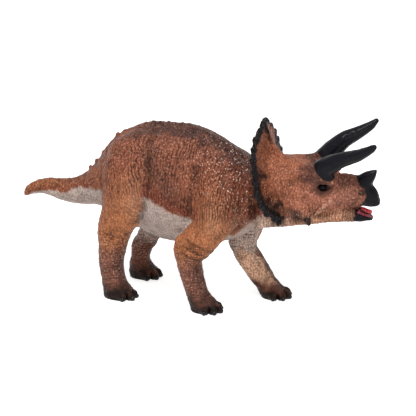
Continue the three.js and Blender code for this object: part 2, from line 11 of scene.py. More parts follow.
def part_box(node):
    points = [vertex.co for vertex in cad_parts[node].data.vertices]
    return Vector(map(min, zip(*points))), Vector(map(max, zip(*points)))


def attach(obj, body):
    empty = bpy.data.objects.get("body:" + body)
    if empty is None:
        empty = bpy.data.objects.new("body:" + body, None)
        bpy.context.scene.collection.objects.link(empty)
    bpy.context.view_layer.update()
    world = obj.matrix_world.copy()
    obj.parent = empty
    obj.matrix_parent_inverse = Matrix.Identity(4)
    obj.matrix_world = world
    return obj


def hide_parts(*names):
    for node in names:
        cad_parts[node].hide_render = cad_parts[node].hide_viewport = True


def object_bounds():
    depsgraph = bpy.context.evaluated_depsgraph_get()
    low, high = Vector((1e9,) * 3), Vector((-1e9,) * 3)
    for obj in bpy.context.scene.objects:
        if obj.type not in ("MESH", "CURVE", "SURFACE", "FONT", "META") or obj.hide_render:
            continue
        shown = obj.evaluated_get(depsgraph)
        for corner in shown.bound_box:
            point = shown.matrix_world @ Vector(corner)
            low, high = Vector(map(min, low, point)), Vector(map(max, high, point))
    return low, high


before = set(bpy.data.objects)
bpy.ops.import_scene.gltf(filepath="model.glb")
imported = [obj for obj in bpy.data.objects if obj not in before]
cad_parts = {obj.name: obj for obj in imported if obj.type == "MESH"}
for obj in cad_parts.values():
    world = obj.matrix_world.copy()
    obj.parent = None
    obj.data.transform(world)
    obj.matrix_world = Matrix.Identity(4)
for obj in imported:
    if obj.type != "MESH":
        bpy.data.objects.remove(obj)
cad_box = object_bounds()

# Trunk: two hollow half shells of PVC vinyl, moulded from one clay form and glued along the back
# and belly. Places are in millimetres from the rump's seat: x to the neck, y to the figure's left
# from the mid-plane, z up from the ground.
MM = 0.001
tail_low, tail_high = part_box("tail")
rump_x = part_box("torso_left_shell")[0].x
mid_y = (tail_low.y + tail_high.y) / 2
figure_zero = np.array([rump_x, mid_y, 0.0]) / MM

# One grid of distances to the surface, negative inside, stands for the sculptor's clay. Its step
# is fine enough for studs of 1 mm, and every later part of the body is worked into it.
grid_step = 0.45
grid_margin = 4.0
grid_low = np.array(cad_box[0]) / MM - figure_zero - grid_margin
grid_high = np.array(cad_box[1]) / MM - figure_zero + grid_margin
grid_count = np.ceil((grid_high - grid_low) / grid_step).astype(int)
grid_x, grid_y, grid_z = (
    (grid_low[axis] + grid_step * np.arange(grid_count[axis], dtype=np.float32)).astype(np.float32)
    for axis in range(3)
)
grid_x = grid_x[:, None, None]
grid_y = grid_y[None, :, None]
grid_z = grid_z[None, None, :]
far_off = 12.0
clay = np.full(grid_count, far_off, np.float32)


def cells_in(low, high):
    """The grid cells inside a box, as slices."""
    first = np.floor((np.asarray(low) - grid_low) / grid_step).astype(int)
    last = np.ceil((np.asarray(high) - grid_low) / grid_step).astype(int) + 1
    first = np.clip(first, 0, grid_count)
    last = np.clip(last, 0, grid_count)
    return tuple(slice(a, b) for a, b in zip(first, last))


def places_of(cells):
    return grid_x[cells[0]], grid_y[:, cells[1]], grid_z[:, :, cells[2]]


def melt(first, second, blend):
    """Union of two distances with a fillet about as wide as blend."""
    overlap = np.clip(blend - np.abs(first - second), 0, None)
    return np.minimum(first, second) - overlap * overlap / (4 * blend)


def work(form, low, high, blend, remove=False):
    """Adds a form to the clay inside a box, or carves it away."""
    cells = cells_in(low, high)
    distance = form(*places_of(cells))
    if remove:
        clay[cells] = -melt(-clay[cells], distance, blend)
    else:
        clay[cells] = melt(clay[cells], distance, blend)


def lump(centre, half_sizes, blend=2.0, turn=None, remove=False):
    """Egg-shaped muscle or pad, or a hollow when it is removed."""
    axes = np.eye(3) if turn is None else np.array(turn)
    reach = max(half_sizes) + blend + 1.0

    def form(x, y, z):
        offset = [x - centre[0], y - centre[1], z - centre[2]]
        across = [sum(axes[k][i] * offset[k] for k in range(3)) for i in range(3)]
        near = np.sqrt(sum((a / h) ** 2 for a, h in zip(across, half_sizes))) + 1e-6
        steep = np.sqrt(sum((a / h ** 2) ** 2 for a, h in zip(across, half_sizes))) + 1e-6
        return near * (near - 1.0) / steep

    work(form, np.array(centre) - reach, np.array(centre) + reach, blend, remove)


def smooth_line(points, between=6):
    """More rows between the given ones, on a smooth curve through each column."""
    rows = np.array(points, float)
    padded = np.vstack([2 * rows[0] - rows[1], rows, 2 * rows[-1] - rows[-2]])
    smooth = []
    for index in range(len(rows) - 1):
        before, start, end, after = padded[index:index + 4]
        bend = 2 * before - 5 * start + 4 * end - after
        twist = 3 * start - before - 3 * end + after
        for share in np.arange(between) / between:
            row = 2 * start + (end - before) * share + bend * share ** 2 + twist * share ** 3
            smooth.append(0.5 * row)
    smooth.append(rows[-1])
    return np.array(smooth)


def strand(rows, blend=1.5, between=6):
    """Tapered round strand along rows of x, y, z, radius."""
    line = smooth_line(rows, between) if between else np.array(rows, float)
    reach = line[:, 3].max() + blend + 1.0

    def form(x, y, z):
        nearest = None
        for start, end in zip(line[:-1], line[1:]):
            along = end[:3] - start[:3]
            offset = [x - start[0], y - start[1], z - start[2]]
            share = sum(o * a for o, a in zip(offset, along)) / max(along @ along, 1e-9)
            share = np.clip(share, 0, 1)
            gap = np.sqrt(sum((o - share * a) ** 2 for o, a in zip(offset, along)))
            gap = gap - (start[3] + (end[3] - start[3]) * share)
            nearest = gap if nearest is None else np.minimum(nearest, gap)
        return nearest

    low = line[:, :3].min(0) - reach
    high = line[:, :3].max(0) + reach
    work(form, low, high, blend)


def oval_gap(first, second, half_first, half_second, power):
    """Distance to an oval along the ray from its middle; the core is as deep as it is narrow."""
    near = np.abs(first / half_first) ** power + np.abs(second / half_second) ** power
    near = near ** (1 / power) + 1e-6
    ray = np.sqrt(first ** 2 + second ** 2)
    core_share = 0.15
    return np.where(near > core_share, ray * (1 - 1 / near), -np.minimum(half_first, half_second))


def oval_body(along, side, up, rows, power):
    """Distance to a body of upright ovals: rows of along, top, bottom, half width."""
    widest_share = 0.45
    line = smooth_line(rows, 5)
    top, bottom, half = (np.interp(along, line[:, 0], line[:, k]) for k in (1, 2, 3))
    widest = bottom + (top - bottom) * widest_share
    rise = up - widest
    reach = np.where(rise > 0, top - widest, widest - bottom)
    distance = oval_gap(side, rise, half, reach, power)
    ends = np.maximum(along - line[-1, 0], line[0, 0] - along)
    return np.maximum(distance, ends).astype(np.float32)


trunk_rows = [
    (-8.0, 56.6, 40.5, 7.8), (-4.4, 60.8, 40.8, 8.8), (0.0, 67.5, 40.0, 10.5),
    (3.0, 72.0, 39.0, 12.8), (6.5, 75.6, 38.0, 15.2), (14.0, 80.8, 35.5, 18.6),
    (24.0, 84.0, 31.4, 21.4), (34.0, 85.4, 29.2, 23.4), (44.0, 85.5, 29.0, 23.5),
    (54.0, 83.2, 30.0, 21.6), (64.0, 78.8, 32.2, 18.6), (72.0, 74.4, 36.0, 15.8),
    (78.0, 70.6, 41.0, 14.1), (84.0, 68.0, 45.0, 13.2),
]
work(lambda x, y, z: oval_body(x, y, z, trunk_rows, 2.1), grid_low, grid_high, 1.0)

# Tail: one solid vinyl moulding plugged into the rump with a peg and glued. It is thick at the
# root, smooth on top, and ends in a thin drooping tip.
tail_rows = [
    (-43.3, 41.2, 38.2, 1.4), (-41.8, 43.6, 38.6, 1.9), (-38.7, 46.2, 39.8, 2.4),
    (-35.6, 47.8, 40.6, 2.9), (-32.0, 48.6, 40.8, 3.4), (-26.0, 48.9, 39.9, 4.2),
    (-20.0, 49.8, 38.8, 5.1), (-14.0, 52.0, 38.6, 6.1), (-8.0, 56.6, 39.6, 7.8),
    (-4.4, 60.8, 40.2, 8.8), (0.0, 67.5, 40.0, 10.5),
]
tail_box_end = [6.0, 30.0, 80.0]
work(lambda x, y, z: oval_body(x, y, z, tail_rows, 2.0), grid_low, tail_box_end, 1.5)

# Muscles and spine of the trunk, once the tail has joined it: hips, shoulders and ribs, and a low
# ridge of knobs that are smaller over the tail's root and over the front half of the back
for side in (-1, 1):
    lump((22.0, side * 11.0, 72.0), (14.0, 8.0, 8.5), 6.0)
    lump((66.0, side * 11.0, 57.5), (10.5, 6.2, 14.0), 6.0)
    lump((40.0, side * 15.3, 53.0), (17.0, 7.6, 12.0), 6.0)
spine_rows = [
    (-30.0, 0.0, 47.4, 1.0), (-14.0, 0.0, 50.5, 1.4), (-4.4, 0.0, 59.0, 1.6),
    (6.5, 0.0, 73.8, 1.8), (24.0, 0.0, 82.2, 2.0), (44.0, 0.0, 83.8, 2.0),
    (64.0, 0.0, 77.2, 1.8), (76.0, 0.0, 70.4, 1.6),
]
strand(spine_rows, 2.5)
knob_spacing = 3.7
knob_sizes = np.array([1.2, 1.1, 1.6])
for x_along in np.arange(-8.5, 76.0, knob_spacing):
    top_here = np.interp(x_along, *np.array(spine_rows)[:, [0, 2]].T)
    knob_scale = 0.8 if x_along < -6.0 or x_along > 40.0 else 1.2
    lump((x_along, 0.0, top_here + 2.1), knob_sizes * knob_scale, 0.4)

# Legs: four solid vinyl mouldings, each with a peg that is glued into the trunk. The thighs and
# upper arms swell out of the trunk and the feet end in blunt toes.
# Rows are height, forward, half length, outward and half width.
leg_rows = {
    "hind_leg_right": [
        (0.0, 13.4, 7.2, 15.2, 5.3), (2.0, 13.5, 7.8, 15.2, 5.7), (4.6, 12.9, 7.3, 15.3, 5.5),
        (8.3, 11.2, 6.0, 15.6, 5.1), (14.0, 10.0, 5.8, 15.9, 4.9), (20.0, 9.9, 6.2, 16.2, 5.1),
        (26.4, 10.9, 6.9, 16.5, 5.6), (32.5, 12.0, 8.0, 16.8, 6.5), (38.6, 14.0, 9.0, 17.0, 7.1),
        (45.0, 16.5, 10.2, 17.2, 7.5), (53.0, 18.5, 11.8, 17.4, 7.7), (60.0, 19.0, 12.5, 17.3, 7.6),
        (67.0, 19.0, 11.6, 16.6, 7.0), (72.0, 18.8, 8.6, 15.6, 5.6), (75.0, 18.5, 3.0, 14.6, 2.4),
    ],
    "hind_leg_left": [
        (0.0, 12.6, 6.8, 15.2, 5.3), (2.0, 12.7, 7.4, 15.2, 5.7), (4.5, 12.0, 6.6, 15.3, 5.5),
        (8.0, 10.4, 4.8, 15.6, 4.9), (12.0, 10.9, 4.7, 15.9, 4.7), (16.2, 12.0, 5.8, 16.0, 4.9),
        (20.0, 14.0, 6.0, 16.2, 5.1), (26.0, 17.6, 6.4, 16.5, 5.6), (32.0, 20.8, 7.5, 16.8, 6.5),
        (40.0, 22.2, 9.3, 17.0, 7.1), (47.0, 22.0, 10.8, 17.2, 7.5), (54.0, 21.0, 12.0, 17.4, 7.7),
        (60.0, 20.0, 12.5, 17.3, 7.6), (67.0, 19.5, 11.6, 16.6, 7.0), (72.0, 19.0, 8.6, 15.6, 5.6),
        (75.0, 19.0, 3.0, 14.6, 2.4),
    ],
    "front_leg_right": [
        (0.0, 58.5, 6.7, 15.4, 5.3), (2.0, 58.6, 7.3, 15.4, 5.8), (4.5, 57.3, 7.0, 15.5, 5.6),
        (8.6, 54.9, 5.7, 15.8, 5.2), (12.4, 53.5, 5.4, 16.1, 5.1), (20.2, 51.6, 5.8, 16.5, 5.2),
        (24.1, 50.9, 6.1, 16.7, 5.4), (26.2, 51.2, 6.8, 17.0, 5.7), (28.5, 52.7, 8.3, 17.4, 6.1),
        (31.5, 54.3, 9.4, 17.6, 6.6), (35.0, 56.5, 9.8, 17.8, 6.8), (40.0, 60.0, 10.0, 17.8, 7.0),
        (46.4, 64.0, 10.0, 17.4, 7.0), (54.0, 67.0, 9.5, 16.8, 6.8), (60.0, 68.0, 8.0, 16.0, 5.9),
        (65.0, 68.0, 5.4, 15.0, 4.4), (68.0, 68.0, 2.4, 14.2, 2.2),
    ],
    "front_leg_left": [
        (0.0, 81.2, 6.4, 15.4, 5.3), (1.9, 80.9, 7.1, 15.4, 5.8), (3.7, 79.6, 6.9, 15.5, 5.6),
        (5.5, 77.8, 6.4, 15.6, 5.4), (8.9, 73.9, 6.4, 16.2, 5.4), (12.6, 71.3, 7.0, 16.2, 5.2),
        (16.2, 68.5, 7.3, 16.5, 5.2), (19.9, 66.2, 7.0, 16.7, 5.4), (23.6, 64.2, 6.0, 17.0, 5.7),
        (30.0, 65.0, 7.5, 17.4, 6.4), (38.0, 67.0, 8.8, 17.6, 6.8), (46.0, 68.5, 9.0, 17.2, 7.0),
        (54.0, 68.8, 8.4, 16.6, 6.7), (60.0, 68.6, 7.4, 16.0, 5.9), (65.0, 68.4, 5.0, 15.0, 4.4),
        (68.0, 68.2, 2.4, 14.2, 2.2),
    ],
}


def leg_form(rows, side):
    """Distance to a leg of level ovals."""
    squareness = 2.3
    line = smooth_line(rows, 5)

    def form(x, y, z):
        forward, half_x, outward, half_y = (
            np.interp(z, line[:, 0], line[:, k]) for k in (1, 2, 3, 4))
        distance = oval_gap(x - forward, y - side * outward, half_x, half_y, squareness)
        return np.maximum(distance, z - line[-1, 0]).astype(np.float32)

    return form


def side_of(name):
    return -1 if name.endswith("right") else 1


# Each leg is worked in a box that stays on its own side of the figure
leg_room = 16.0
leg_top = 80.0
leg_blend = 3.2
for name, rows in leg_rows.items():
    side = side_of(name)
    inner_y, outer_y = side * 2.0, side * 34.0
    forward_places = [row[1] for row in rows]
    box_low = [min(forward_places) - leg_room, min(inner_y, outer_y), grid_low[2]]
    box_high = [max(forward_places) + leg_room, max(inner_y, outer_y), leg_top]
    work(leg_form(rows, side), box_low, box_high, leg_blend)

leg_muscles = [
    ("right thigh", (20.0, -18.8, 60.0), (9.0, 6.4, 12.0), 5.0),
    ("right calf", (9.6, -16.6, 36.0), (4.0, 4.6, 9.0), 4.0),
    ("left thigh", (21.0, 18.8, 58.0), (9.0, 6.4, 12.0), 5.0),
    ("right upper arm", (65.0, -18.0, 52.0), (7.0, 6.2, 11.0), 5.0),
    ("right elbow", (47.6, -16.8, 33.0), (3.6, 4.2, 4.6), 3.5),
    ("left upper arm", (66.5, 17.6, 50.0), (7.0, 6.2, 11.0), 5.0),
    ("left elbow", (60.4, 17.2, 26.5), (3.4, 4.2, 4.6), 3.5),
]
for _, centre, half_sizes, blend in leg_muscles:
    lump(centre, half_sizes, blend)

# Toes stand round the front of each sole at these angles in degrees, with a cleft between each
# two. Places are shares of the sole's half length and half width, and a height over the ground.
toe_spread = {"hind": (-62, -21, 21, 62), "front": (-76, -38, 0, 38, 76)}
toe_place, toe_sizes = (0.86, 0.88, 2.1), (2.5, 1.7, 2.5)
cleft_place, cleft_sizes = (1.02, 1.02, 1.5), (2.2, 0.5, 3.2)
claw_place = (1.04, 1.03, 1.2)
claw_places = {}


def round_sole(name, reach_x, reach_y, place):
    """A place round a leg's sole, from its reach forward and outward there."""
    _, forward, _, outward, _ = leg_rows[name][1]
    length_share, width_share, height = place
    return (
        forward + length_share * reach_x, side_of(name) * outward + width_share * reach_y, height,
    )


for name, rows in leg_rows.items():
    _, _, half_x, _, half_y = rows[1]
    toe_angles = np.radians(toe_spread[name.split("_")[0]])
    claw_places[name] = []
    for angle in toe_angles:
        reach = (half_x * math.cos(angle), half_y * math.sin(angle))
        lump(round_sole(name, *reach, toe_place), toe_sizes, 0.7)
        claw = round_sole(name, *reach, claw_place)
        claw_places[name].append((claw, math.atan2(reach[1], reach[0])))
    for angle in (toe_angles[:-1] + toe_angles[1:]) / 2:
        reach = (half_x * math.cos(angle), half_y * math.sin(angle))
        turn = np.array(Matrix.Rotation(angle, 3, "Z"))
        lump(round_sole(name, *reach, cleft_place), cleft_sizes, 0.5, turn, remove=True)

# Head: one vinyl moulding of skull and frill on a neck peg, turned and tipped to the left. Its
# forms are placed in a frame of their own at the neck seat: x to the beak, y to the left, z up.
head_seat = np.array([78.04, 2.02, 59.47])
head_yaw = math.radians(12)
head_roll = math.radians(5)
head_turn = np.array(Matrix.Rotation(head_yaw, 3, "Z") @ Matrix.Rotation(head_roll, 3, "X"))
head_low = [66.0, -36.0, 36.0]
head_high = [grid_high[0], 40.0, grid_high[2]]


def to_head(x, y, z):
    """Figure places in the head's frame."""
    offset = [x - head_seat[0], y - head_seat[1], z - head_seat[2]]
    return [sum(head_turn[k][i] * offset[k] for k in range(3)) for i in range(3)]


def from_head(rows):
    """Rows of x, y, z and perhaps radius from the head's frame to the figure's."""
    rows = np.atleast_2d(np.array(rows, float)).copy()
    rows[:, :3] = rows[:, :3] @ head_turn.T + head_seat
    return rows


def mirrored(rows, side):
    """Rows of the figure's left side, or their mirror image on the right."""
    rows = np.atleast_2d(np.array(rows, float)).copy()
    rows[:, 1] *= side
    return rows


def head_form(rows, power):
    return lambda x, y, z: oval_body(*to_head(x, y, z), rows, power)


skull_rows = [
    (-3.0, 13.0, -17.5, 13.6), (5.0, 15.6, -16.4, 14.2), (10.0, 16.6, -14.6, 14.1),
    (16.0, 16.8, -12.6, 13.5), (22.0, 16.2, -11.0, 12.7), (28.0, 14.6, -9.4, 11.6),
    (34.0, 12.0, -7.6, 10.0), (40.0, 8.7, -6.6, 8.1), (46.0, 7.5, -5.7, 6.4),
    (51.0, 6.8, -5.3, 5.2), (54.4, 5.8, -5.8, 4.0), (57.2, 2.6, -7.2, 2.6),
    (58.6, -2.0, -7.0, 1.4),
]
work(head_form(skull_rows, 2.2), head_low, head_high, 2.5)

# Lower jaw: a small vinyl moulding pushed up into the skull and glued. Its cheek runs on into the
# throat; the mouth between the two is cut further down.
jaw_rows = [
    (2.0, -6.0, -17.6, 12.6), (10.0, -6.5, -17.2, 12.2), (18.0, -7.0, -16.1, 11.2),
    (26.0, -7.0, -14.7, 10.0), (34.0, -6.8, -13.8, 8.4), (40.0, -6.4, -13.4, 7.0),
    (46.0, -6.6, -13.2, 5.6), (51.0, -8.2, -13.0, 4.2), (55.0, -10.0, -12.4, 2.0),
]
work(head_form(jaw_rows, 2.3), head_low, head_high, 3.6)

# Frill: part of the head's moulding, a plate that sweeps back from the skull to a thick rim. Knobs
# stand along the rim and two spikes hang at each end of it. Rim rows are forward, outward, up.
frill_rim = [
    (4.2, 0.0, 33.4), (3.4, 8.0, 31.4), (2.6, 16.0, 27.2), (3.8, 21.6, 21.8),
    (5.0, 25.4, 15.6), (6.0, 27.2, 10.0), (7.2, 27.4, 5.4), (8.6, 26.4, 0.9),
    (11.0, 23.6, -3.6), (13.2, 19.4, -6.8), (13.2, 11.0, -9.4), (13.2, 0.0, -10.0),
]
frill_hub = (16.0, 0.0, 7.0)
frill_edge = 2.3
frill_thickening = 1.2
frill_sweep = 2.1


def rim_at(angle):
    """Forward place and reach of the rim at an angle from the top, the same on both sides."""
    line = smooth_line(frill_rim, 6)
    angles = np.arctan2(line[:, 1], line[:, 2] - frill_hub[2])
    reach = np.hypot(line[:, 1], line[:, 2] - frill_hub[2])
    return np.interp(angle, angles, line[:, 0]), np.interp(angle, angles, reach)


def frill_plate(along, across, up):
    """Distance to the frill's faces, share of the way to the rim, reach and angle from the top."""
    angle = np.arctan2(np.abs(across), up - frill_hub[2])
    rim_x, reach = rim_at(angle)
    share = np.hypot(across, up - frill_hub[2]) / reach
    inward = np.clip(1 - share, 0, 1)
    front = rim_x + (frill_hub[0] - rim_x) * inward ** frill_sweep
    thickness = frill_edge * (1 + frill_thickening * inward)
    return np.abs(along - front + thickness / 2) - thickness / 2, share, reach, angle


def frill_form(x, y, z):
    """Distance to the frill, with a low swelling just inside its rim."""
    plate, share, reach, _ = frill_plate(*to_head(x, y, z))
    swelling = 0.25 * np.exp(-((share - 0.97) / 0.04) ** 2)
    rounded = -melt(swelling - plate, -(share - 1) * reach, 1.6)
    return rounded.astype(np.float32)


def head_lump(centre, half_sizes, blend=1.5, remove=False):
    lump(from_head(centre)[0], half_sizes, blend, head_turn, remove)


def head_strand(rows, blend=1.5, between=6):
    strand(from_head(rows), blend, between)


def rim_strand(ends, angle, side, blend):
    """Short strand over the rim: each end is forward and outward of the rim, and has a radius."""
    rim_x, reach = rim_at(angle)
    rows = [
        (rim_x + forward, side * (reach + outward) * math.sin(angle),
         frill_hub[2] + (reach + outward) * math.cos(angle), radius)
        for forward, outward, radius in ends
    ]
    head_strand(rows, blend, between=0)


work(frill_form, head_low, head_high, 3.0)
frill_keel = [
    (3.8, 0.0, 32.0, 1.0), (4.6, 0.0, 29.0, 1.3), (5.4, 0.0, 26.2, 1.5), (6.8, 0.0, 22.8, 1.6),
    (8.8, 0.0, 19.6, 1.7), (11.4, 0.0, 16.8, 1.8),
]
head_strand(frill_keel, 2.0)
frill_knob = [(-1.3, -1.2, 1.8), (-1.2, -0.1, 1.5)]
frill_spike = [(-0.9, -1.5, 2.0), (0.4, 3.0, 0.6)]
frill_knob_angles = np.radians([0, 13, 26, 39, 51, 63, 75, 87, 99, 111, 123])
frill_spike_angles = np.radians([128, 142])
for side in (-1, 1):
    for angle in frill_knob_angles[0 if side > 0 else 1:]:
        rim_strand(frill_knob, angle, side, 0.7)
    for angle in frill_spike_angles:
        rim_strand(frill_spike, angle, side, 0.8)

# Face: brow bosses, cheek spikes, lids, nostrils and snout ridge of the head's moulding. The mouth
# stays open between skull and jaw, cut in from the beak to the cheek.
brow_boss = [(20.0, 5.0, 10.8, 4.6), (27.0, 6.0, 11.0, 5.8), (33.0, 6.8, 11.6, 5.2)]
cheek_spike = [
    (17.0, 10.6, -2.0, 3.6), (23.0, 12.0, -5.0, 3.2), (26.2, 14.8, -7.4, 1.9),
    (27.6, 16.4, -9.4, 0.9),
]
upper_lid = [(30.0, 9.6, 11.0, 1.1), (33.6, 9.9, 10.4, 1.2), (37.6, 8.4, 8.6, 0.9)]
lower_lid = [
    (30.6, 9.8, 6.2, 0.7), (32.2, 9.9, 4.6, 0.75), (34.6, 9.6, 4.3, 0.7), (36.8, 8.8, 5.6, 0.6),
]
cheek_fold = [(36.4, 9.5, -0.6, 0.7), (32.4, 9.9, -4.4, 0.9), (28.4, 9.6, -8.6, 0.8)]
eye_socket = (32.8, 9.8, 6.6)
nostril_hollow = (51.2, 4.9, 3.2)
for side in (-1, 1):
    head_strand(mirrored(brow_boss, side), 3.0)
    head_strand(mirrored(cheek_spike, side), 1.6)
    head_strand(mirrored(upper_lid, side), 1.2)
    head_lump(mirrored(eye_socket, side)[0], (3.0, 1.6, 2.5), 0.8, remove=True)
    head_strand(mirrored(lower_lid, side), 0.8)
    head_lump(mirrored(nostril_hollow, side)[0], (2.2, 1.0, 1.3), 0.8, remove=True)
    head_strand(mirrored(cheek_fold, side), 0.7)
snout_ridge = [(40.0, 0.0, 7.8, 2.2), (45.0, 0.0, 7.6, 2.6), (50.0, 0.0, 5.8, 2.6)]
head_strand(snout_ridge, 3.0)
mouth_corner = 46.0
roof_height, roof_start, roof_rise = -5.4, 50.0, 0.12
floor_height, floor_fall = -6.4, 0.55


def mouth_form(x, y, z):
    """Distance to the open mouth: a wedge between a rising roof and a falling floor."""
    along, _, up = to_head(x, y, z)
    roof = up - roof_height - roof_rise * np.clip(along - roof_start, 0, None)
    floor = floor_height - floor_fall * (along - mouth_corner) - up
    cheek = mouth_corner - along
    return np.maximum(np.maximum(roof, floor), cheek).astype(np.float32)


mouth_low = from_head([(44.0, -12.0, -16.0)])[0] - 6.0
work(mouth_form, mouth_low, head_high, 0.5, remove=True)

# Tongue: a small moulding of red vinyl that stands up in the lower jaw on a peg. It is one short
# tapered strand, and its skin is cut from the same clay.
tongue_rows = [(47.5, 0.0, -7.6, 1.5), (50.0, 0.0, -7.9, 1.7), (53.6, 0.0, -8.6, 1.2)]
head_strand(tongue_rows, 0.3)

# Horns: three mouldings of stiffer black vinyl, plugged into collars on the brow and the snout.
# The brow horns of the two sides bend a little differently, as in hand work.
brow_horn_rows = {
    -1: [(28.0, 6.0, 10.0, 5.4), (33.0, 6.8, 15.3, 4.9), (38.5, 8.0, 19.3, 4.2),
         (44.0, 9.0, 22.2, 3.5), (50.5, 11.7, 25.6, 2.9), (56.4, 14.0, 29.7, 2.1),
         (58.9, 15.0, 32.0, 1.3)],
    1: [(27.0, 6.0, 10.0, 5.4), (31.5, 6.6, 15.2, 5.1), (35.8, 7.7, 20.0, 4.6),
        (40.3, 9.0, 24.0, 3.9), (45.6, 11.4, 26.4, 3.2), (51.0, 13.8, 29.2, 2.3),
        (54.3, 15.0, 31.9, 1.3)],
}
nose_horn_rows = [
    (49.4, 0.0, 4.4, 4.5), (51.6, 0.0, 7.6, 3.8), (54.2, 0.0, 10.2, 2.5), (56.6, 0.0, 12.8, 0.8),
]
for side, rows in brow_horn_rows.items():
    head_strand(mirrored(rows, side), 1.0)
head_strand(nose_horn_rows, 1.5)

# Soles: the feet of the real mouldings are trimmed level so that the figure stands. Here all clay
# below the ground is cut away.
sole_box_top = [grid_high[0], grid_high[1], 2.0]
work(lambda x, y, z: z, grid_low, sole_box_top, 0.2, remove=True)


# Skin: creases are pressed into the soft clay, then it is meshed once and its surface is worked
# with wrinkles, studs and pebbles, as a sculptor stamps and engraves the skin before moulding.
# All of it is small heights along the surface's normal.
def side_gap(x, z, points):
    """Distance in the side view to a smooth line through x, z points."""
    line = smooth_line(points, 4)
    nearest = np.full(np.broadcast_shapes(x.shape, z.shape), 1e3, np.float32)
    for start, end in zip(line[:-1], line[1:]):
        along = end - start
        share = (x - start[0]) * along[0] + (z - start[1]) * along[1]
        share = np.clip(share / max(along @ along, 1e-9), 0, 1)
        gap = np.hypot(x - start[0] - share * along[0], z - start[1] - share * along[1])
        nearest = np.minimum(nearest, gap)
    return nearest


def crease(points, depth, width, side):
    """Groove of a given depth along x, z points on one side of the figure."""
    line = np.array(points)
    reach = 3 * width + 1.0
    outer_y = side * 60.0
    low = [line[:, 0].min() - reach, min(outer_y, 0.0), line[:, 1].min() - reach]
    high = [line[:, 0].max() + reach, max(outer_y, 0.0), line[:, 1].max() + reach]
    cells = cells_in(low, high)
    x, y, z = places_of(cells)
    nearest = side_gap(x, z, points)
    fade = np.clip((side * y - 3.0) / 4.0, 0, 1)
    clay[cells] += depth * np.exp(-(nearest / width) ** 2) * fade


# Creases in front of the thigh and behind the shoulder on both sides, across the right elbow, and
# along the glued seam behind the right thigh
smooth_clay = clay.copy()
thigh_fold = [(28.5, 84.0), (30.5, 76.0), (32.0, 66.0), (31.5, 56.0), (28.5, 47.0), (25.0, 41.0)]
shoulder_fold = [(56.0, 74.0), (54.5, 66.0), (53.5, 58.0), (53.0, 50.0)]
elbow_folds = [
    [(50.0, 30.5), (55.0, 28.5), (60.0, 25.5)],
    [(51.0, 34.0), (57.0, 31.8), (62.5, 28.5)],
    [(53.0, 37.5), (59.0, 35.0), (65.0, 32.0)],
]
seam_line = [(3.6, 72.0), (2.6, 62.0), (2.6, 50.0), (3.6, 38.0)]
for side in (-1, 1):
    crease(thigh_fold, 0.4, 1.5, side)
    crease(shoulder_fold, 0.25, 1.5, side)
for points in elbow_folds:
    crease(points, 0.6, 0.7, -1)
crease(seam_line, 0.35, 0.5, -1)


def ramp(value, start, end):
    """0 at the start, 1 at the end, and smooth between."""
    share = np.clip((value - start) / (end - start), 0, 1)
    return share * share * (3 - 2 * share)


def corner_mix(field, first, share):
    """Mixes a field's values at the eight corners of each place's cell."""
    total = np.zeros(len(first))
    for corner in np.ndindex(2, 2, 2):
        weight = np.prod(np.where(corner, share, 1 - share), axis=1)
        total += weight * field[tuple((first + corner).T)]
    return total


noise_cells = 32


def grain(places, cell_sizes, seed):
    """Smooth random bumps of the given sizes, mostly between -1 and 1, repeated in the end."""
    chance = np.random.default_rng(seed)
    lattice = chance.standard_normal((noise_cells,) * 3).astype(np.float32)
    lattice = np.pad(lattice, (0, 1), mode="wrap")
    place = places / np.array(cell_sizes)
    first = np.floor(place).astype(int)
    share = place - first
    return corner_mix(lattice, first % noise_cells, share * share * (3 - 2 * share))


cloud_turn = np.array(Matrix.Rotation(0.7, 3, "Z") @ Matrix.Rotation(0.6, 3, "X"))


def cloud(points, size, seed):
    """Soft cloudy noise without a direction, for uneven folds and for the edges of the paint."""
    turned = points @ cloud_turn
    finer = grain(turned[:, ::-1], (size / 2,) * 3, seed + 40)
    return 0.8 * grain(turned, (size,) * 3, seed) + 0.4 * finer


def ribs(places, cell_sizes, seed):
    """Rounded ridges with narrow valleys: -0.6 in the valleys and up to 0.4 on the ridges."""
    return np.clip(2.2 * np.abs(grain(places, cell_sizes, seed)), 0, 1) - 0.6


def studs(places, spacing, radius, seed):
    """Scattered round studs, 1 at their tops and 0 beyond their radius."""
    chance = np.random.default_rng(seed)
    shift = chance.random((noise_cells, noise_cells, noise_cells, 3)).astype(np.float32)
    cell = np.floor(places / spacing).astype(int)
    height = np.zeros(len(places))
    for corner in np.ndindex(3, 3, 3):
        near = cell + np.array(corner) - 1
        centre = (near + shift[tuple((near % noise_cells).T)]) * spacing
        gap = np.linalg.norm(places - centre, axis=1)
        height = np.maximum(height, np.clip(1 - (gap / radius) ** 2, 0, 1))
    return height


def line_gap(places, rows):
    """Distance from places to a tapered line's surface."""
    gap = np.full(len(places), 1e3)
    for x, y, z, radius in smooth_line(rows, 3):
        gap = np.minimum(gap, np.linalg.norm(places - (x, y, z), axis=1) - radius)
    return gap


def on_line(line, places):
    """The second value of a line of pairs where its first value is each place's."""
    return np.interp(places, *np.array(line).T)


def head_places(points):
    return np.stack(to_head(*points.T), axis=1)


def frill_places(points):
    """Head places as share of the way to the frill's rim, angle from the top, and on-frill mask."""
    along, across, up = head_places(points).T
    plate, share, _, angle = frill_plate(along, across, up)
    on_frill = ramp(plate, 2.4, 1.2) * ramp(share, 0.4, 0.6) * ramp(share, 1.3, 1.2)
    return share, angle, across, on_frill


belly_line = [
    (-50.0, 36.0), (-43.0, 37.5), (-38.7, 41.0), (-32.0, 43.8), (-20.0, 45.2), (-8.0, 50.0),
    (12.0, 53.0), (31.0, 56.0), (36.6, 53.4), (42.0, 51.0), (46.8, 49.6), (53.5, 48.2),
    (60.0, 43.0), (70.0, 37.5), (84.0, 50.0),
]


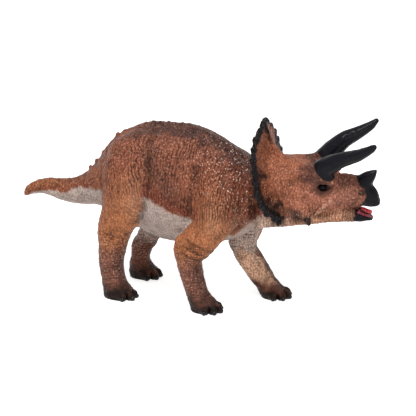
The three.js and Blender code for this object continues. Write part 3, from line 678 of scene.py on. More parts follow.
def skin_zones(points):
    """How much each point belongs to each kind of skin, from 0 to 1, with soft borders in mm."""
    x, y, z = points.T
    head = head_places(points)
    on_head = ramp(head[:, 0], -2.0, 3.0)
    on_leg = ramp(z, 44.0, 34.0) * (1 - on_head)
    on_trunk = (1 - on_head) * (1 - on_leg)
    on_frill = frill_places(points)[3]
    belly = ramp(z - on_line(belly_line, x), 3.0, -3.0)
    beak_and_horns = ramp(head[:, 0], 52.0, 54.5)
    for side, rows in brow_horn_rows.items():
        brow_horn = ramp(line_gap(head, mirrored(rows[1:], side)), 1.6, 0.6)
        beak_and_horns = np.maximum(beak_and_horns, brow_horn)
    nose_horn = ramp(line_gap(head, nose_horn_rows[1:]), 1.6, 0.6)
    beak_and_horns = np.maximum(beak_and_horns, nose_horn)
    return {
        "head": on_head,
        "leg": on_leg,
        "trunk": on_trunk,
        "frill": on_frill,
        "belly": belly,
        "flank": on_trunk * ramp(np.abs(y), 5.0, 11.0) * ramp(x, 4.0, 16.0) * (1 - 0.6 * belly),
        "horn": beak_and_horns,
        "jaw": on_head * ramp(head[:, 2], -1.0, -5.0) * (1 - beak_and_horns) * (1 - on_frill),
    }


def skin_height(points):
    """Height of the skin's small relief over the smooth clay, in millimetres.

    Each kind of bump has its height, its sizes, a seed of its own and the zone that it belongs to.
    """
    head = head_places(points)
    share, angle, across, _ = frill_places(points)
    zones = skin_zones(points)
    skin = 1 - zones["horn"]
    face = zones["head"] * (1 - zones["jaw"]) * (1 - zones["frill"]) * skin
    back = ramp(points[:, 2], 58.0, 74.0) * zones["trunk"]
    bent = points + 1.6 * np.stack([grain(points, (8, 8, 8), seed) for seed in (5, 6, 7)], axis=1)
    round_rim = np.stack([angle * 20.0, share * 14.0, across * 0.1], axis=1)
    height = 0.05 * grain(points, (1.3, 1.3, 1.3), 3) * skin
    height += 0.13 * grain(points, (3.4, 3.4, 3.4), 4) * skin
    height += 0.22 * ribs(bent, (1.8, 5.0, 7.0), 8) * zones["flank"]
    height += 0.2 * ribs(bent, (6.0, 6.0, 1.8), 9) * zones["leg"]
    height += 0.26 * ribs(bent, (2.6, 2.6, 2.6), 10) * zones["trunk"] * (1 - zones["flank"])
    height += 0.25 * ribs(head, (1.8, 7.0, 9.0), 13) * zones["jaw"]
    height += 0.3 * ribs(round_rim, (2.0, 7.0, 9.0), 14) * zones["frill"]
    height += 0.15 * ribs(head, (2.0, 2.0, 2.0), 15) * face
    height += 0.55 * studs(points, 3.1, 0.95, 16) * np.clip(back + 0.5 * zones["flank"], 0, 1)
    height += 0.4 * studs(points, 2.6, 0.8, 17) * np.clip(zones["frill"] + 0.4 * face, 0, 1) * skin
    height += 0.14 * ribs(head, (9.0, 1.6, 9.0), 18) * zones["horn"]
    return height * ramp(points[:, 2], 0.0, 1.0)


# Cutting up: the real sculpt is cut into one mould for each vinyl piece. Here the skin is cut into
# one closed piece for each CAD node, half way between that node and its neighbours.
def surface_of(field, step):
    """Points in figure millimetres and quads of the zero surface of a field."""
    limit = 3 * step
    grid = openvdb.FloatGrid(limit)
    grid.copyFromArray(np.clip(field, -limit, limit))
    points, quads = grid.convertToQuads()
    return points * step + grid_low, quads[:, ::-1]


def new_object(name, data):
    """An object in the scene that shows a mesh or shines a lamp."""
    thing = bpy.data.objects.new(name, data)
    bpy.context.collection.objects.link(thing)
    return thing


def new_mesh(name, points, faces):
    """A mesh from points in figure millimetres."""
    mesh = bpy.data.meshes.new(name)
    mesh.from_pydata(((points + figure_zero) * MM).tolist(), [], faces)
    return mesh


def vectors_of(mesh, kind):
    """The places or normals of a mesh's points."""
    values = np.empty(len(mesh.vertices) * 3, np.float32)
    mesh.vertices.foreach_get(kind, values)
    return values.reshape(-1, 3)


def figure_points(mesh):
    return vectors_of(mesh, "co") / MM - figure_zero


clay_points, clay_quads = surface_of(clay, grid_step)
skin = new_object("skin_whole", new_mesh("skin_whole", clay_points, clay_quads.tolist()))
skin_points = figure_points(skin.data)
skin_points += vectors_of(skin.data, "normal") * skin_height(skin_points)[:, None]
worked_places = ((skin_points + figure_zero) * MM).astype(np.float32)
skin.data.vertices.foreach_set("co", worked_places.ravel())
skin.data.update()

cutter_step = 1.0
cutter_band = 8
cutter_count = np.ceil((grid_high - grid_low) / cutter_step).astype(int)
nodes = sorted(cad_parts)


def node_distance(name):
    """Distance to a CAD node on the coarse cutting grid."""
    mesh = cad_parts[name].data
    mesh.calc_loop_triangles()
    points = (figure_points(mesh) - grid_low) / cutter_step
    triangles = np.array([t.vertices for t in mesh.loop_triangles], np.uint32)
    grid = openvdb.FloatGrid.createLevelSetFromPolygons(
        points.astype(np.float32), triangles=triangles, halfWidth=cutter_band)
    field = np.zeros(cutter_count, np.float32)
    grid.copyToArray(field)
    return field * cutter_step


node_fields = {name: node_distance(name) for name in nodes}


def cutter_for(name):
    """A closed body round all places that lie nearest to one node."""
    own = node_fields[name]
    others = np.min([field for other, field in node_fields.items() if other != name], axis=0)
    region = np.maximum((own - others) / 2, own - (cutter_band - 2.0) * cutter_step)
    for axis in range(3):
        edge = [slice(None)] * 3
        for end in (0, -1):
            edge[axis] = end
            region[tuple(edge)] = cutter_step
    points, quads = surface_of(region, cutter_step)
    return new_object("cutter", new_mesh("cutter", points, quads.tolist()))


def piece_for(name):
    """The skin's part that lies nearest to one node, as a closed piece."""
    cutter = cutter_for(name)
    boolean = skin.modifiers.new("cut", "BOOLEAN")
    boolean.operation = "INTERSECT"
    boolean.solver = "MANIFOLD"
    boolean.object = cutter
    graph = bpy.context.evaluated_depsgraph_get()
    mesh = bpy.data.meshes.new_from_object(skin.evaluated_get(graph))
    mesh.validate()
    skin.modifiers.remove(boolean)
    bpy.data.objects.remove(cutter)
    return new_object("painted_" + name, mesh)


pieces = {name: piece_for(name) for name in nodes}
bpy.data.objects.remove(skin)


# Paint: airbrushed over the glued figure, so the colours run on from piece to piece, then given
# painted shade in the folds and painted highlight on the ridges. It is kept on the points of the
# skin, and its fourth value says how much painted highlight and shade the pebbles carry.
def linear(hex_colour):
    """sRGB hex to linear."""
    values = np.array([int(hex_colour[k:k + 2], 16) / 255 for k in (1, 3, 5)])
    return np.where(values <= 0.04045, values / 12.92, ((values + 0.055) / 1.055) ** 2.4)


hide_orange = linear("#9f6441")
hide_brown = linear("#844d37")
back_brown = linear("#764939")
neck_brown = linear("#6b3c2c")
spine_dark = linear("#3f2c28")
snout_brown = linear("#3c2a26")
shin_tan = linear("#deb092")
# Pale cream of the painted highlights on pebble tops and ridges
pale_highlight = linear("#eee0d2")


def airbrush(colour, paint, mask):
    """Sprays a paint over the colours in place, as thick as the mask says.

    Most masks are ramps from the place in mm where a coat starts to the place where it is full.
    """
    colour += (paint - colour) * np.clip(mask, 0, 1)[:, None]


trunk_line = smooth_line(trunk_rows, 5)
tail_line = smooth_line(tail_rows, 5)
body_line = np.vstack([tail_line[tail_line[:, 0] < -8.0], trunk_line])
rib_hollow_shade = [(32.0, 71.0), (39.0, 64.0), (48.0, 55.0)]
# Soft strokes of the airbrush: middle along, middle up, half length, half height, paint, strength.
# Dark strokes paint shade behind the thigh, in the fold behind the shoulder, on the neck and at
# the tail's root, and darken the mid flank, the back and the tail; the two tan strokes paint
# highlights on the front of the thigh and on the upper arm.
tone_shade_and_highlight_strokes = [
    (7.0, 59.0, 9.0, 20.0, neck_brown, 0.55), (-8.0, 56.0, 8.0, 9.0, neck_brown, 0.4),
    (43.0, 60.0, 12.0, 13.0, back_brown, 0.7), (36.0, 74.0, 22.0, 8.0, back_brown, 0.4),
    (-20.0, 52.0, 22.0, 9.0, neck_brown, 0.45), (26.0, 52.0, 5.0, 13.0, shin_tan, 0.15),
    (56.0, 58.0, 6.0, 15.0, neck_brown, 0.5), (78.0, 57.0, 7.0, 12.0, snout_brown, 0.45),
    (67.0, 50.0, 5.0, 8.0, shin_tan, 0.15),
]


def hide_paint(points):
    """Orange-brown hide of trunk, tail and upper legs: darker up the back, warmer lower down."""
    x, _, z = points.T
    wide = cloud(points, 9.0, 21)
    mid = cloud(points, 3.0, 22)
    drop = np.interp(x, body_line[:, 0], body_line[:, 1]) - z
    colour = np.tile(hide_brown, (len(points), 1))
    warm = np.maximum(ramp(np.abs(x - 40.0), 8.0, 20.0), ramp(z, 54.0, 44.0))
    airbrush(colour, hide_orange, 0.9 * ramp(z + 3 * wide, 74.0, 46.0) * (0.35 + 0.65 * warm))
    airbrush(colour, back_brown, 0.1 * ramp(wide, 0.2, 1.4))
    for along, up, half_along, half_up, paint, strength in tone_shade_and_highlight_strokes:
        away = ((x - along) / half_along) ** 2 + ((z - up) / half_up) ** 2
        airbrush(colour, paint, strength * np.exp(-away) * (1 + 0.15 * mid))
    saddle = ramp(drop + wide, 13.0, 4.0) * (0.1 + 0.9 * ramp(x, 8.0, 34.0))
    airbrush(colour, back_brown, 0.6 * saddle)
    airbrush(colour, neck_brown, 0.75 * ramp(x + wide, 60.0, 76.0) * ramp(z, 46.0, 54.0))
    spine = ramp(drop + 1.2 * mid, 4.0, 0.6) * (0.25 + 0.75 * ramp(x, 12.0, 26.0))
    airbrush(colour, spine_dark, 0.8 * spine)
    # Painted shade in the hollow behind the ribs
    airbrush(colour, spine_dark, 0.4 * ramp(side_gap(x, z, rib_hollow_shade) + wide, 7.0, 1.0))
    # How much painted highlight and shade the pebbles carry: most over the shoulders, more near the
    # back's top
    shoulder_highlight = ramp(x, 48.0, 62.0) * ramp(drop, 24.0, 10.0)
    return colour, 0.14 + 0.12 * ramp(drop, 24.0, 8.0) + 0.75 * shoulder_highlight


# Trunk and tail: the hide with a reddish edge along the flank over a grey belly; the edge is
# partly the hide's colour and partly painted shade where the body turns under
edge_red = linear("#643022")
belly_grey = linear("#a29087")
tail_grey = linear("#a6958c")
throat_pale = linear("#b89a87")


def body_paint(points):
    """The hide with a reddish edge along the flank, a grey belly and a grey tail underneath."""
    x, _, z = points.T
    mid = cloud(points, 3.0, 23)
    above = z - on_line(belly_line, x) + 0.7 * mid
    flank_edge = ramp(above, -0.5, 1.5) * ramp(above, 11.0, 2.0) * ramp(x, 14.0, 32.0)
    tail_edge = ramp(above, -0.5, 1.0) * ramp(above, 4.0, 1.0) * ramp(x, 2.0, -6.0)
    belly_start = np.interp(z, [40.0, 48.0], [8.0, 28.0])
    belly = ramp(above, 1.2, -1.2)
    colour, pebble_light = hide_paint(points)
    # The reddish edge along flank and tail also paints the shade where the body turns under
    airbrush(colour, edge_red, 0.75 * flank_edge)
    airbrush(colour, edge_red, 0.6 * tail_edge)
    airbrush(colour, belly_grey, belly * ramp(x + mid, belly_start, belly_start + 4.0))
    airbrush(colour, tail_grey, 0.95 * ramp(above, 0.6, -0.6) * ramp(x, 10.0, 2.0))
    airbrush(colour, throat_pale, 0.6 * ramp(x, 74.0, 82.0) * ramp(z, 50.0, 45.0))
    return colour, pebble_light * (1 - 0.6 * belly)


# Legs: the hide, darkening down the shins to black feet
shin_brown = linear("#70493e")
foot_black = linear("#0d0908")


def leg_paint(points, normals, side):
    """The hide, darkening to black feet, with pale grey insides."""
    x, _, z = points.T
    foot_line = 5.0 if side > 0 else 6.0
    mid = cloud(points, 3.0, 25)
    colour, pebble_light = hide_paint(points)
    airbrush(colour, shin_brown, 0.85 * ramp(z + 3 * mid, 33.0, 20.0))
    inner = ramp(-side * normals[:, 1] + 0.2 * mid, -0.1, 0.5)
    airbrush(colour, shin_tan, 0.85 * inner * ramp(x, 46.0, 54.0) * ramp(z + mid, 6.0, 11.0))
    airbrush(colour, belly_grey, 0.9 * inner * ramp(z + 3 * mid, 14.0, 27.0))
    front = ramp(normals[:, 0] + 0.15 * mid, 0.25, 0.8) * ramp(z, 32.0, 22.0)
    airbrush(colour, snout_brown, 0.55 * front * (1 - inner))
    airbrush(colour, foot_black, 0.95 * ramp(z + 2.0 * mid, foot_line + 5.0, foot_line - 3.0))
    return colour, (pebble_light + 0.25 * ramp(z, 40.0, 22.0)) * ramp(z, 7.0, 14.0)


# Head and jaw: tan face and orange frill with a black blotched rim, black beak and dark eye rings.
# Head places are along, across and up, and frill places are share, angle, across and mask.
face_tan = linear("#965f4c")
jaw_tan = linear("#a2755b")
frill_orange = linear("#804c35")
frill_sheen_pink = linear("#9a6658")
rim_black = linear("#0d0a0c")
horn_black = linear("#121116")
mouth_pink = linear("#b0525b")
eye_black = linear("#070707")


def paint_face(colour, head, on_frill, wide, mid):
    """Ground colours of face, frill and jaw, darker snout, painted shadow behind the cheek."""
    along, _, up = head.T
    brow = ramp(along + 2 * wide, 34.0, 12.0) * ramp(up, -10.0, 0.0) * ramp(along, 2.0, 9.0)
    cheek_arch_shadow = np.exp(-((along - 21.0) / 4.0) ** 2) * ramp(up, -2.0, -5.0) * ramp(up, -14.0, -9.0)
    lip_shade_gap = np.hypot(along - 46.5, up + 8.0)
    airbrush(colour, face_tan, ramp(along + wide, 1.0, 9.0))
    airbrush(colour, frill_orange, 0.9 * brow)
    airbrush(colour, frill_orange, on_frill)
    airbrush(colour, jaw_tan, 0.9 * ramp(up, -3.0, -9.0) * ramp(along, 12.0, 22.0))
    airbrush(colour, back_brown, 0.12 * ramp(wide, 0.2, 1.4))
    airbrush(colour, snout_brown, 0.3 * ramp(along, 33.0, 42.0) * ramp(up, -6.0, -2.0))
    airbrush(colour, snout_brown, 0.35 * ramp(up + mid, 4.5, 8.0) * ramp(along, 36.0, 42.0))
    airbrush(colour, throat_pale, 0.85 * ramp(along + wide, 24.0, 10.0) * ramp(up, -7.0, -12.0))
    # Painted shadow under the arch behind the cheek, and painted shade at the corner of the mouth
    airbrush(colour, snout_brown, 0.85 * cheek_arch_shadow)
    airbrush(colour, rim_black, 0.5 * ramp(lip_shade_gap + mid, 7.0, 1.5))


# Angle from the frill's top and width in degrees, and where each starts on the way to the rim
frill_blotches = [
    (0, 6, 0.72), (22, 4, 0.86), (44, 4, 0.88), (67, 9, 0.36), (84, 19, 0.76), (103, 14, 0.55),
    (119, 8, 0.44), (134, 9, 0.9),
]


def paint_frill(colour, frill, normals, mid, fine):
    """Far half pinker as a painted sheen, black keel, blotches and rim, and a brown back."""
    share, angle, across, on_frill = frill
    # The far half is painted pinker, as a painted sheen on it
    airbrush(colour, frill_sheen_pink, 0.85 * on_frill * ramp(across, 0.0, 3.0))
    keel = np.exp(-(across / 1.5) ** 4) * ramp(share, 0.36, 0.5)
    airbrush(colour, rim_black, 0.9 * on_frill * keel)
    for centre, width, inner in frill_blotches:
        wedge = math.radians(width) * (0.45 + 0.9 * ramp(share, inner, 1.0))
        off_centre = angle - math.radians(centre) + 0.05 * mid
        spot = np.exp(-(off_centre / wedge) ** 2) * ramp(share + 0.04 * fine, inner, inner + 0.14)
        airbrush(colour, rim_black, 0.92 * on_frill * spot)
    rim_start = 0.93 - 0.1 * ramp(angle, 1.05, 1.3) * ramp(angle, 2.3, 2.15)
    past_rim = share + 0.012 * mid + 0.012 * fine - rim_start
    rim = ramp(past_rim, 0.0, 0.04) * ramp(angle, 2.65, 2.5)
    airbrush(colour, rim_black, 0.97 * on_frill * rim)
    behind = on_frill * ramp(-normals[:, 0], 0.2, 0.6)
    airbrush(colour, back_brown, 0.9 * behind * ramp(share, 0.94, 0.9))


beak_edge = [
    (-14.0, 46.5), (-7.0, 47.0), (-6.0, 48.6), (-3.0, 49.8), (-1.5, 51.6), (2.0, 52.4),
    (5.0, 51.2), (9.0, 47.8), (14.0, 46.0),
]
mouth_room = [(43.0, 5.4), (48.0, 4.2), (52.0, 2.7), (54.0, 1.2), (55.0, 0.0)]


def beyond_beak(head):
    """How far a place lies in front of the edge of the horny beak."""
    return head[:, 0] - on_line(beak_edge, head[:, 2])


def paint_beak(colour, head, normals, past_beak):
    """Black beak and a pink roof and floor of the mouth."""
    along, across, up = head.T
    airbrush(colour, horn_black, ramp(past_beak, -0.5, 0.7))
    room = on_line(mouth_room, along)
    inside = (along > 48.5) * ramp(np.abs(across), room, room - 0.6) * (np.abs(up + 7.5) < 4.5)
    facing = ramp(normals[:, 2] * np.sign(-7.0 - up), 0.2, 0.6)
    airbrush(colour, mouth_pink, inside * facing)


eye_place = (32.8, 8.4, 6.6)
spike_tip = (27.2, 16.0, -8.8)
nostril = (50.6, 3.0)


def side_distance(head, place, side):
    """Distance of head places to a place on the figure's left, or to its mirror image."""
    return np.linalg.norm(head - np.array(place) * (1, side, 1), axis=1)


def paint_marks(colour, head, mid, fine):
    """Black round horn roots, eyes, cheek spikes and nostrils; says how dark the horn roots are."""
    along, _, up = head.T
    root_shade = np.zeros(len(head))
    for side, rows in brow_horn_rows.items():
        root_gap = line_gap(head, mirrored(rows[:4], side))
        shade = ramp(root_gap + 1.0 * mid + 0.5 * fine, 4.2, 0.3) * ramp(up, 6.5, 11.5)
        root_shade = np.maximum(root_shade, shade)
        eye = side_distance(head, eye_place, side)
        fold = line_gap(head, mirrored(cheek_fold, side)) + 0.2 * fine
        spike = side_distance(head, spike_tip, side)
        airbrush(colour, horn_black, 0.75 * shade)
        airbrush(colour, rim_black, 0.85 * ramp(eye + 0.5 * mid, 6.2, 2.4))
        airbrush(colour, eye_black, ramp(eye, 2.3, 2.1))
        # Painted highlight along the ridge of the cheek fold
        airbrush(colour, pale_highlight, 0.12 * ramp(fold, 0.5, -0.3))
        airbrush(colour, rim_black, 0.95 * ramp(spike + 0.5 * mid, 4.4, 2.4))
    nostril_gap = np.hypot(along - nostril[0], up - nostril[1])
    airbrush(colour, rim_black, 0.8 * ramp(nostril_gap + 0.4 * fine, 2.2, 1.0))
    return root_shade


def head_paint(points, normals):
    """All coats of head and jaw; the pale painted highlight stops at the eyes, horn roots and beak.
    """
    head = head_places(points)
    frill = frill_places(points)
    share, _, _, on_frill = frill
    wide = cloud(points, 7.0, 28)
    mid = cloud(points, 3.0, 26)
    fine = cloud(points, 1.4, 27)
    past_beak = beyond_beak(head) + 0.5 * mid + 0.4 * fine
    colour, _ = body_paint(points)
    paint_face(colour, head, on_frill, wide, mid)
    paint_frill(colour, frill, normals, mid, fine)
    paint_beak(colour, head, normals, past_beak)
    root_shade = paint_marks(colour, head, mid, fine)
    dark = np.maximum(on_frill * ramp(share, 0.86, 0.95), root_shade)
    eye = np.minimum(side_distance(head, eye_place, -1), side_distance(head, eye_place, 1))
    pebble_light = 0.3 * ramp(eye, 3.5, 6.0) * ramp(past_beak, 0.0, -2.0) * (1 - 0.6 * dark)
    return colour, pebble_light


# Horns and tongue: left in the colour of their own vinyl, without the pale painted highlight
tongue_red = linear("#c43c45")


def plain_paint(paint):
    """One colour all over."""
    return lambda points, normals: (np.tile(paint, (len(points), 1)), np.zeros(len(points)))


def paint_of(name):
    """How the piece of one node is painted."""
    if "leg" in name:
        return lambda points, normals: leg_paint(points, normals, side_of(name))
    if "horn" in name:
        return plain_paint(horn_black)
    if name == "tongue":
        return plain_paint(tongue_red)
    if name in ("head", "lower_jaw"):
        return head_paint
    return lambda points, normals: body_paint(points)


def clay_height(points):
    """Height of points over the clay as it was before the creases."""
    place = np.clip((points - grid_low) / grid_step, 0, np.array(grid_count) - 1.001)
    first = place.astype(int)
    return corner_mix(smooth_clay, first, place - first)


# Distance between two of the fine folds, in mm
fold_spacing = 1.35


def engraved_folds(points):
    """Phase and strength of the fine folds: upright on the body, level on the legs."""
    x, _, z = points.T
    head = head_places(points)
    _, angle, _, _ = frill_places(points)
    zones = skin_zones(points)
    slanted = x + 0.4 * (z - 50.0) * ramp(x, 50.0, 0.0)
    body = slanted * (1 - zones["leg"]) + z * zones["leg"]
    along = body * (1 - zones["head"]) + head[:, 0] * zones["head"]
    along = along * (1 - zones["frill"]) + 20.0 * angle * zones["frill"]
    waver = 1.8 * cloud(points, 6.0, 31) + 0.7 * cloud(points, 2.4, 32)
    turning = 4 * zones["leg"] * (1 - zones["leg"])
    strength = 0.8 * zones["leg"] + zones["flank"] + 0.3 * zones["trunk"] * (1 - zones["flank"])
    strength *= 0.3 + 0.6 * ramp(cloud(points, 5.0, 33), -0.8, 0.9)
    strength *= (1 - 0.85 * turning) * (1 - 0.55 * zones["belly"] * zones["trunk"])
    strength += zones["head"] * (0.25 + 0.4 * zones["jaw"] + 0.25 * zones["frill"])
    strength *= (1 - zones["horn"]) * ramp(z, 3.0, 9.0)
    return along * math.pi / fold_spacing + waver, strength


def keep_on_points(mesh, name, columns):
    """Keeps up to four values for each point, where a material reads them."""
    values = np.zeros((len(mesh.vertices), 4), np.float32)
    values[:, :len(columns)] = np.stack(columns, axis=1)
    layer = mesh.color_attributes.new(name, "FLOAT_COLOR", "POINT")
    layer.data.foreach_set("color", values.ravel())


def apply_paint(piece, name):
    """Paint, painted shade in the creases, painted highlight on what stands out, and fine folds."""
    mesh = piece.data
    points = figure_points(mesh)
    colour, pebble_light = paint_of(name)(points, vectors_of(mesh, "normal"))
    height = clay_height(points)
    # Painted shade in the creases, and pale painted highlight on what stands out
    airbrush(colour, colour * 0.5, ramp(height, 0.0, -0.45))
    airbrush(colour, pale_highlight, 0.22 * pebble_light * ramp(height, 0.15, 0.5))
    keep_on_points(mesh, "paint", (*np.clip(colour, 0, 1).T, np.clip(pebble_light, 0, 1)))
    keep_on_points(mesh, "fold", engraved_folds(points))


def add_node(tree, kind, inputs=(), **settings):
    """Adds a shader node and gives its outputs.

    Its inputs, in order or by name, are values or the outputs of other nodes.
    """
    node = tree.nodes.new("ShaderNode" + kind)
    for key, value in settings.items():
        setattr(node, key, value)
    for key, value in inputs.items() if isinstance(inputs, dict) else enumerate(inputs):
        if isinstance(value, bpy.types.NodeSocket):
            tree.links.new(value, node.inputs[key])
        else:
            node.inputs[key].default_value = value
    return node.outputs


def new_material(name):
    """A material with an empty node tree."""
    material = bpy.data.materials.new(name)
    material.use_nodes = True
    material.node_tree.nodes.clear()
    return material, material.node_tree


def pebble_dome(tree, place, pebble_size):
    """Scales of the given size in mm, a little taller than wide: 1 on top, 0 between them."""
    sway = add_node(tree, "TexNoise", {"Vector": place, "Scale": 1 / (5.0 * MM), "Detail": 1.0})
    swayed = add_node(
        tree, "VectorMath", [sway["Color"], (1.5 * MM,) * 3, place], operation="MULTIPLY_ADD")
    drawn_up = add_node(tree, "VectorMath", [swayed[0], (1.0, 1.0, 0.65)], operation="MULTIPLY")
    cells = {"Vector": drawn_up[0], "Scale": 1 / (pebble_size * MM), "Randomness": 0.8}
    pebbles = add_node(tree, "TexVoronoi", cells, feature="F1")
    return add_node(tree, "MapRange", [pebbles["Distance"], 0.1, 0.75, 1.0, 0.0])[0]


def fold_valley(tree):
    """The narrow valleys of the engraved folds, as deep as their strength on the points says."""
    fold = add_node(tree, "Attribute", attribute_name="fold")
    parts = add_node(tree, "SeparateXYZ", [fold["Color"]])
    wave = add_node(tree, "Math", [parts["X"]], operation="SINE")[0]
    swell = add_node(tree, "Math", [wave], operation="ABSOLUTE")[0]
    valley = add_node(tree, "MapRange", [swell, 0.0, 0.8, 1.0, 0.0])[0]
    return add_node(tree, "Math", [valley, parts["Y"]], operation="MULTIPLY")[0]


def painted_vinyl(name, roughness, shine, pebble_size, relief_depth, crevice):
    """Moulded PVC vinyl with pebbled scales under brushed paint, with painted shade and highlight.

    Pebble size and relief are in mm. Shine is the specular level, low because thin paint scatters
    most of the gloss. Crevice is the share of the paint's light left between the pebbles.
    """
    material, tree = new_material(name)
    place = add_node(tree, "TexCoord")["Object"]
    paint = add_node(tree, "Attribute", attribute_name="paint")
    dome = pebble_dome(tree, place, pebble_size)
    valley = fold_valley(tree)
    specks = {"Vector": place, "Scale": 1 / (1.3 * MM), "Detail": 4.0}
    patch_noise = add_node(tree, "TexNoise", specks)["Fac"]

    # Painted shade between the pebbles and in the folds, and painted highlight on the tops, which
    # are a little lighter than the paint
    pebble_shading = add_node(tree, "MapRange", [dome, 0.0, 1.0, crevice - 1.0, 0.78])[0]
    strength = add_node(tree, "MapRange", [paint["Alpha"], 0.0, 0.25, 0.4, 1.0])[0]
    shade = add_node(tree, "Math", [pebble_shading, strength, 1.0], operation="MULTIPLY_ADD")[0]
    patchy = add_node(tree, "MapRange", [patch_noise, 0.3, 0.7, 0.9, 1.1])[0]
    folded = add_node(tree, "MapRange", [valley, 0.0, 1.0, 1.18, 0.22])[0]
    patch_and_fold_shading = add_node(tree, "Math", [patchy, folded], operation="MULTIPLY")[0]
    light = add_node(tree, "Math", [shade, patch_and_fold_shading], operation="MULTIPLY")[0]
    tinted = add_node(tree, "VectorMath", {0: paint["Color"], "Scale": light}, operation="SCALE")

    # Pale painted highlight that catches only some of the tops
    tops = add_node(tree, "MapRange", [dome, 0.6, 0.9, 0.0, 0.9])[0]
    some = add_node(tree, "MapRange", [patch_noise, 0.48, 0.6, 0.0, 1.0])[0]
    caught = add_node(tree, "Math", [tops, some], operation="MULTIPLY")[0]
    highlight_amount = add_node(tree, "Math", [caught, paint["Alpha"]], operation="MULTIPLY")[0]
    coats = {"Factor": highlight_amount, "A": tinted[0], "B": (*pale_highlight, 1.0)}
    highlighted = add_node(tree, "Mix", coats, data_type="RGBA")["Result"]

    # Relief of pebbles and folds under the satin of the paint
    height = add_node(tree, "Math", [valley, -1.2, dome], operation="MULTIPLY_ADD")[0]
    bumps = {"Strength": 1.0, "Distance": relief_depth * MM, "Height": height}
    relief = add_node(tree, "Bump", bumps)["Normal"]
    surface = {
        "Base Color": highlighted, "Normal": relief, "Roughness": roughness,
        "Specular IOR Level": shine,
    }
    shader = add_node(tree, "BsdfPrincipled", surface)["BSDF"]
    add_node(tree, "OutputMaterial", {"Surface": shader})
    return material


# Airbrushed hide over scales of 0.9 mm: a soft satin skin, with painted shade between the pebbles
skin_material = painted_vinyl("vinyl_scaly_satin_paint", 0.42, 0.1, 0.9, 0.24, 0.62)
# Airbrushed face over finer, shallower scales: smoother to the eye than the trunk
face_material = painted_vinyl("vinyl_face_satin_paint", 0.45, 0.1, 0.85, 0.16, 0.74)
# Stiff black vinyl left almost smooth: long soft highlights along the horns
horn_material = painted_vinyl("vinyl_horn_satin_black", 0.27, 0.08, 2.4, 0.05, 0.8)
# Brush-painted black over low bumps: small sharper highlights on the beak
beak_material = painted_vinyl("vinyl_beak_gloss_black", 0.22, 0.09, 1.3, 0.08, 0.7)
# Wet-looking red vinyl: one clear highlight on the tongue
tongue_material = painted_vinyl("vinyl_tongue_gloss_red", 0.18, 0.25, 1.5, 0.05, 0.8)


def dress_head(mesh):
    """Face paint all over, and the beak's paint on the faces beyond its edge."""
    mesh.materials.append(face_material)
    mesh.materials.append(beak_material)
    centres = np.array([face.center for face in mesh.polygons]) / MM - figure_zero
    horny = (beyond_beak(head_places(centres)) > 0).astype(np.int32)
    mesh.polygons.foreach_set("material_index", horny)


for name, piece in pieces.items():
    apply_paint(piece, name)
    piece.data.materials.clear()
    if "horn" in name:
        piece.data.materials.append(horn_material)
    elif name == "tongue":
        piece.data.materials.append(tongue_material)
    elif name in ("head", "lower_jaw"):
        dress_head(piece.data)
    else:
        piece.data.materials.append(skin_material)
    piece.data.shade_smooth()
    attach(piece, "root")
    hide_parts(name)


# Eyes: part of the head's moulding, each a bead set between the lids and painted gloss black with
# a fine brush. They are small bodies of their own here, so that their edge stays sharp.
def bead(centre, half_sizes, turn, rings=10, sides=16):
    """Points and faces of a small rounded body, flattened as its sizes say."""
    points = []
    for ring in range(1, rings):
        tilt = math.pi * ring / rings
        for k in range(sides):
            angle = 2 * math.pi * k / sides
            across = math.sin(tilt)
            points.append((across * math.cos(angle), across * math.sin(angle), math.cos(tilt)))
    points += [(0.0, 0.0, 1.0), (0.0, 0.0, -1.0)]
    faces = []
    for ring in range(rings - 2):
        for k in range(sides):
            a = ring * sides + k
            b = ring * sides + (k + 1) % sides
            faces.append((a, a + sides, b + sides, b))
    top = len(points) - 2
    last = (rings - 2) * sides
    for k in range(sides):
        faces.append((top, k, (k + 1) % sides))
        faces.append((top + 1, last + (k + 1) % sides, last + k))
    placed = np.array(points) * half_sizes @ np.array(turn).T + centre
    return placed, faces


def gloss_black(name, shine):
    """Gloss black paint from a small brush, with faint streaks 0.8 mm wide."""
    material, tree = new_material(name)
    place = add_node(tree, "TexCoord")["Object"]
    streaks = add_node(tree, "TexNoise", {"Vector": place, "Scale": 1 / (0.8 * MM), "Detail": 2.0})
    blacks = {
        "Factor": streaks["Fac"], "A": (*linear("#0b0a0b"), 1.0), "B": (*linear("#1f1a1a"), 1.0),
    }
    tint = add_node(tree, "Mix", blacks, data_type="RGBA")["Result"]
    surface = {"Base Color": tint, "Roughness": 0.15, "Specular IOR Level": shine}
    shader = add_node(tree, "BsdfPrincipled", surface)["BSDF"]
    add_node(tree, "OutputMaterial", {"Surface": shader})
    return material


def gloss_piece(name, bodies, material):
    """One object of several small bodies."""
    points = []
    faces = []
    for body_points, body_faces in bodies:
        first = sum(len(p) for p in points)
        points.append(body_points)
        faces += [tuple(first + index for index in face) for face in body_faces]
    mesh = new_mesh(name, np.vstack(points), faces)
    mesh.materials.append(material)
    mesh.shade_smooth()
    piece = new_object(name, mesh)
    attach(piece, "root")


# Gloss black for the eyes: nearly no sheen but one small glint, as in a dark eye
eye_material = gloss_black("paint_eye_gloss_black", 0.06)
eye_sizes = (1.7, 1.6, 1.5)
for side, word in ((-1, "right"), (1, "left")):
    eye_centre = from_head(np.array(eye_place) * (1, side, 1))[0]
    gloss_piece("eye_" + word, [bead(eye_centre, eye_sizes, head_turn)], eye_material)

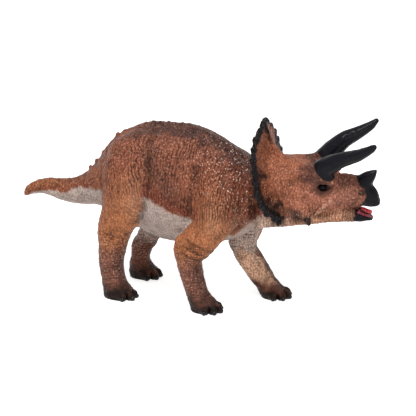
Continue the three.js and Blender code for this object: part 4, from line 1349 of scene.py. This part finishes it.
# Claws: the blunt hooves of each foot, moulded with the leg and painted gloss black by hand. The
# paint gives each of them a clear highlight over the dull foot.
claw_material = gloss_black("paint_claw_gloss_black", 0.22)
claw_sizes = (1.7, 1.25, 1.3)
for name, places in claw_places.items():
    claws = []
    for place, angle in places:
        turn = np.array(Matrix.Rotation(angle, 3, "Z"))
        claws.append(bead(np.array(place), claw_sizes, turn))
    gloss_piece("claws_" + name, claws, claw_material)

# Studio: a floor and backdrop of matt white paper under plain soft light. The paper shows as white
# to the camera and in reflections, and still takes the figure's shadow.
floor_mesh = bpy.data.meshes.new("floor")
floor_mesh.from_pydata([(-3, -3, 0), (3, -3, 0), (3, 3, 0), (-3, 3, 0)], [], [(0, 1, 2, 3)])
floor = new_object("floor", floor_mesh)
white = (1.0, 1.0, 1.0, 1.0)


def seen_directly(tree):
    """1 where the camera, a reflection or clear plastic shows the background itself."""
    path = add_node(tree, "LightPath")
    rays = [path["Is Glossy Ray"], path["Is Transmission Ray"]]
    passed_on = add_node(tree, "Math", rays, operation="MAXIMUM")[0]
    return add_node(tree, "Math", [path["Is Camera Ray"], passed_on], operation="MAXIMUM")[0]


def white_paper():
    """Matt white paper: its own soft shade, and a glow that lifts it to white for the camera."""
    material, tree = new_material("paper_matt_white")
    paper = add_node(tree, "BsdfDiffuse", {"Color": (0.9, 0.9, 0.9, 1.0)})[0]
    glow = add_node(tree, "Emission", {"Color": white, "Strength": 0.75})[0]
    dark = add_node(tree, "Emission", {"Strength": 0.0})[0]
    lit = add_node(tree, "MixShader", [seen_directly(tree), dark, glow])[0]
    both = add_node(tree, "AddShader", [paper, lit])[0]
    add_node(tree, "OutputMaterial", {"Surface": both})
    return material


floor_mesh.materials.append(white_paper())

world = bpy.data.worlds.new("studio")
bpy.context.scene.world = world
world.use_nodes = True
world_tree = world.node_tree
world_tree.nodes.clear()
room_light = add_node(world_tree, "Background", {"Color": white, "Strength": 0.42})[0]
backdrop = add_node(world_tree, "Background", {"Color": white, "Strength": 1.0})[0]
world_mix = add_node(world_tree, "MixShader", [seen_directly(world_tree), room_light, backdrop])[0]
add_node(world_tree, "OutputWorld", {"Surface": world_mix})
figure_middle = Vector((0, 0, 0.045))


def soft_light(name, place, size, watts):
    """Square area light aimed at the figure's middle."""
    data = bpy.data.lights.new(name, "AREA")
    data.size = size
    data.energy = watts
    light = new_object(name, data)
    light.location = place
    light.rotation_euler = (figure_middle - Vector(place)).to_track_quat("-Z", "Y").to_euler()


soft_light("key", (0.05, -0.4, 0.8), 0.25, 5.2)
soft_light("front", (0.7, -0.6, 0.35), 0.4, 1.3)

# Camera: a long lens from the figure's right, a little in front and above
view_azimuth = math.radians(24)
view_elevation = math.radians(20)
view_distance = 3.0
frame_width = 0.1974
aim = Vector((0.0036, -0.0022, 0.0459))
camera_data = bpy.data.cameras.new("camera")
camera_data.sensor_width = 36.0
camera_data.lens = camera_data.sensor_width * view_distance / frame_width
camera = new_object("camera", camera_data)
camera.location = aim + view_distance * Vector((
    math.sin(view_azimuth) * math.cos(view_elevation),
    -math.cos(view_azimuth) * math.cos(view_elevation),
    math.sin(view_elevation),
))
camera.rotation_euler = (aim - camera.location).to_track_quat("-Z", "Y").to_euler()
bpy.context.scene.camera = camera
bpy.context.scene.view_settings.view_transform = "Standard"
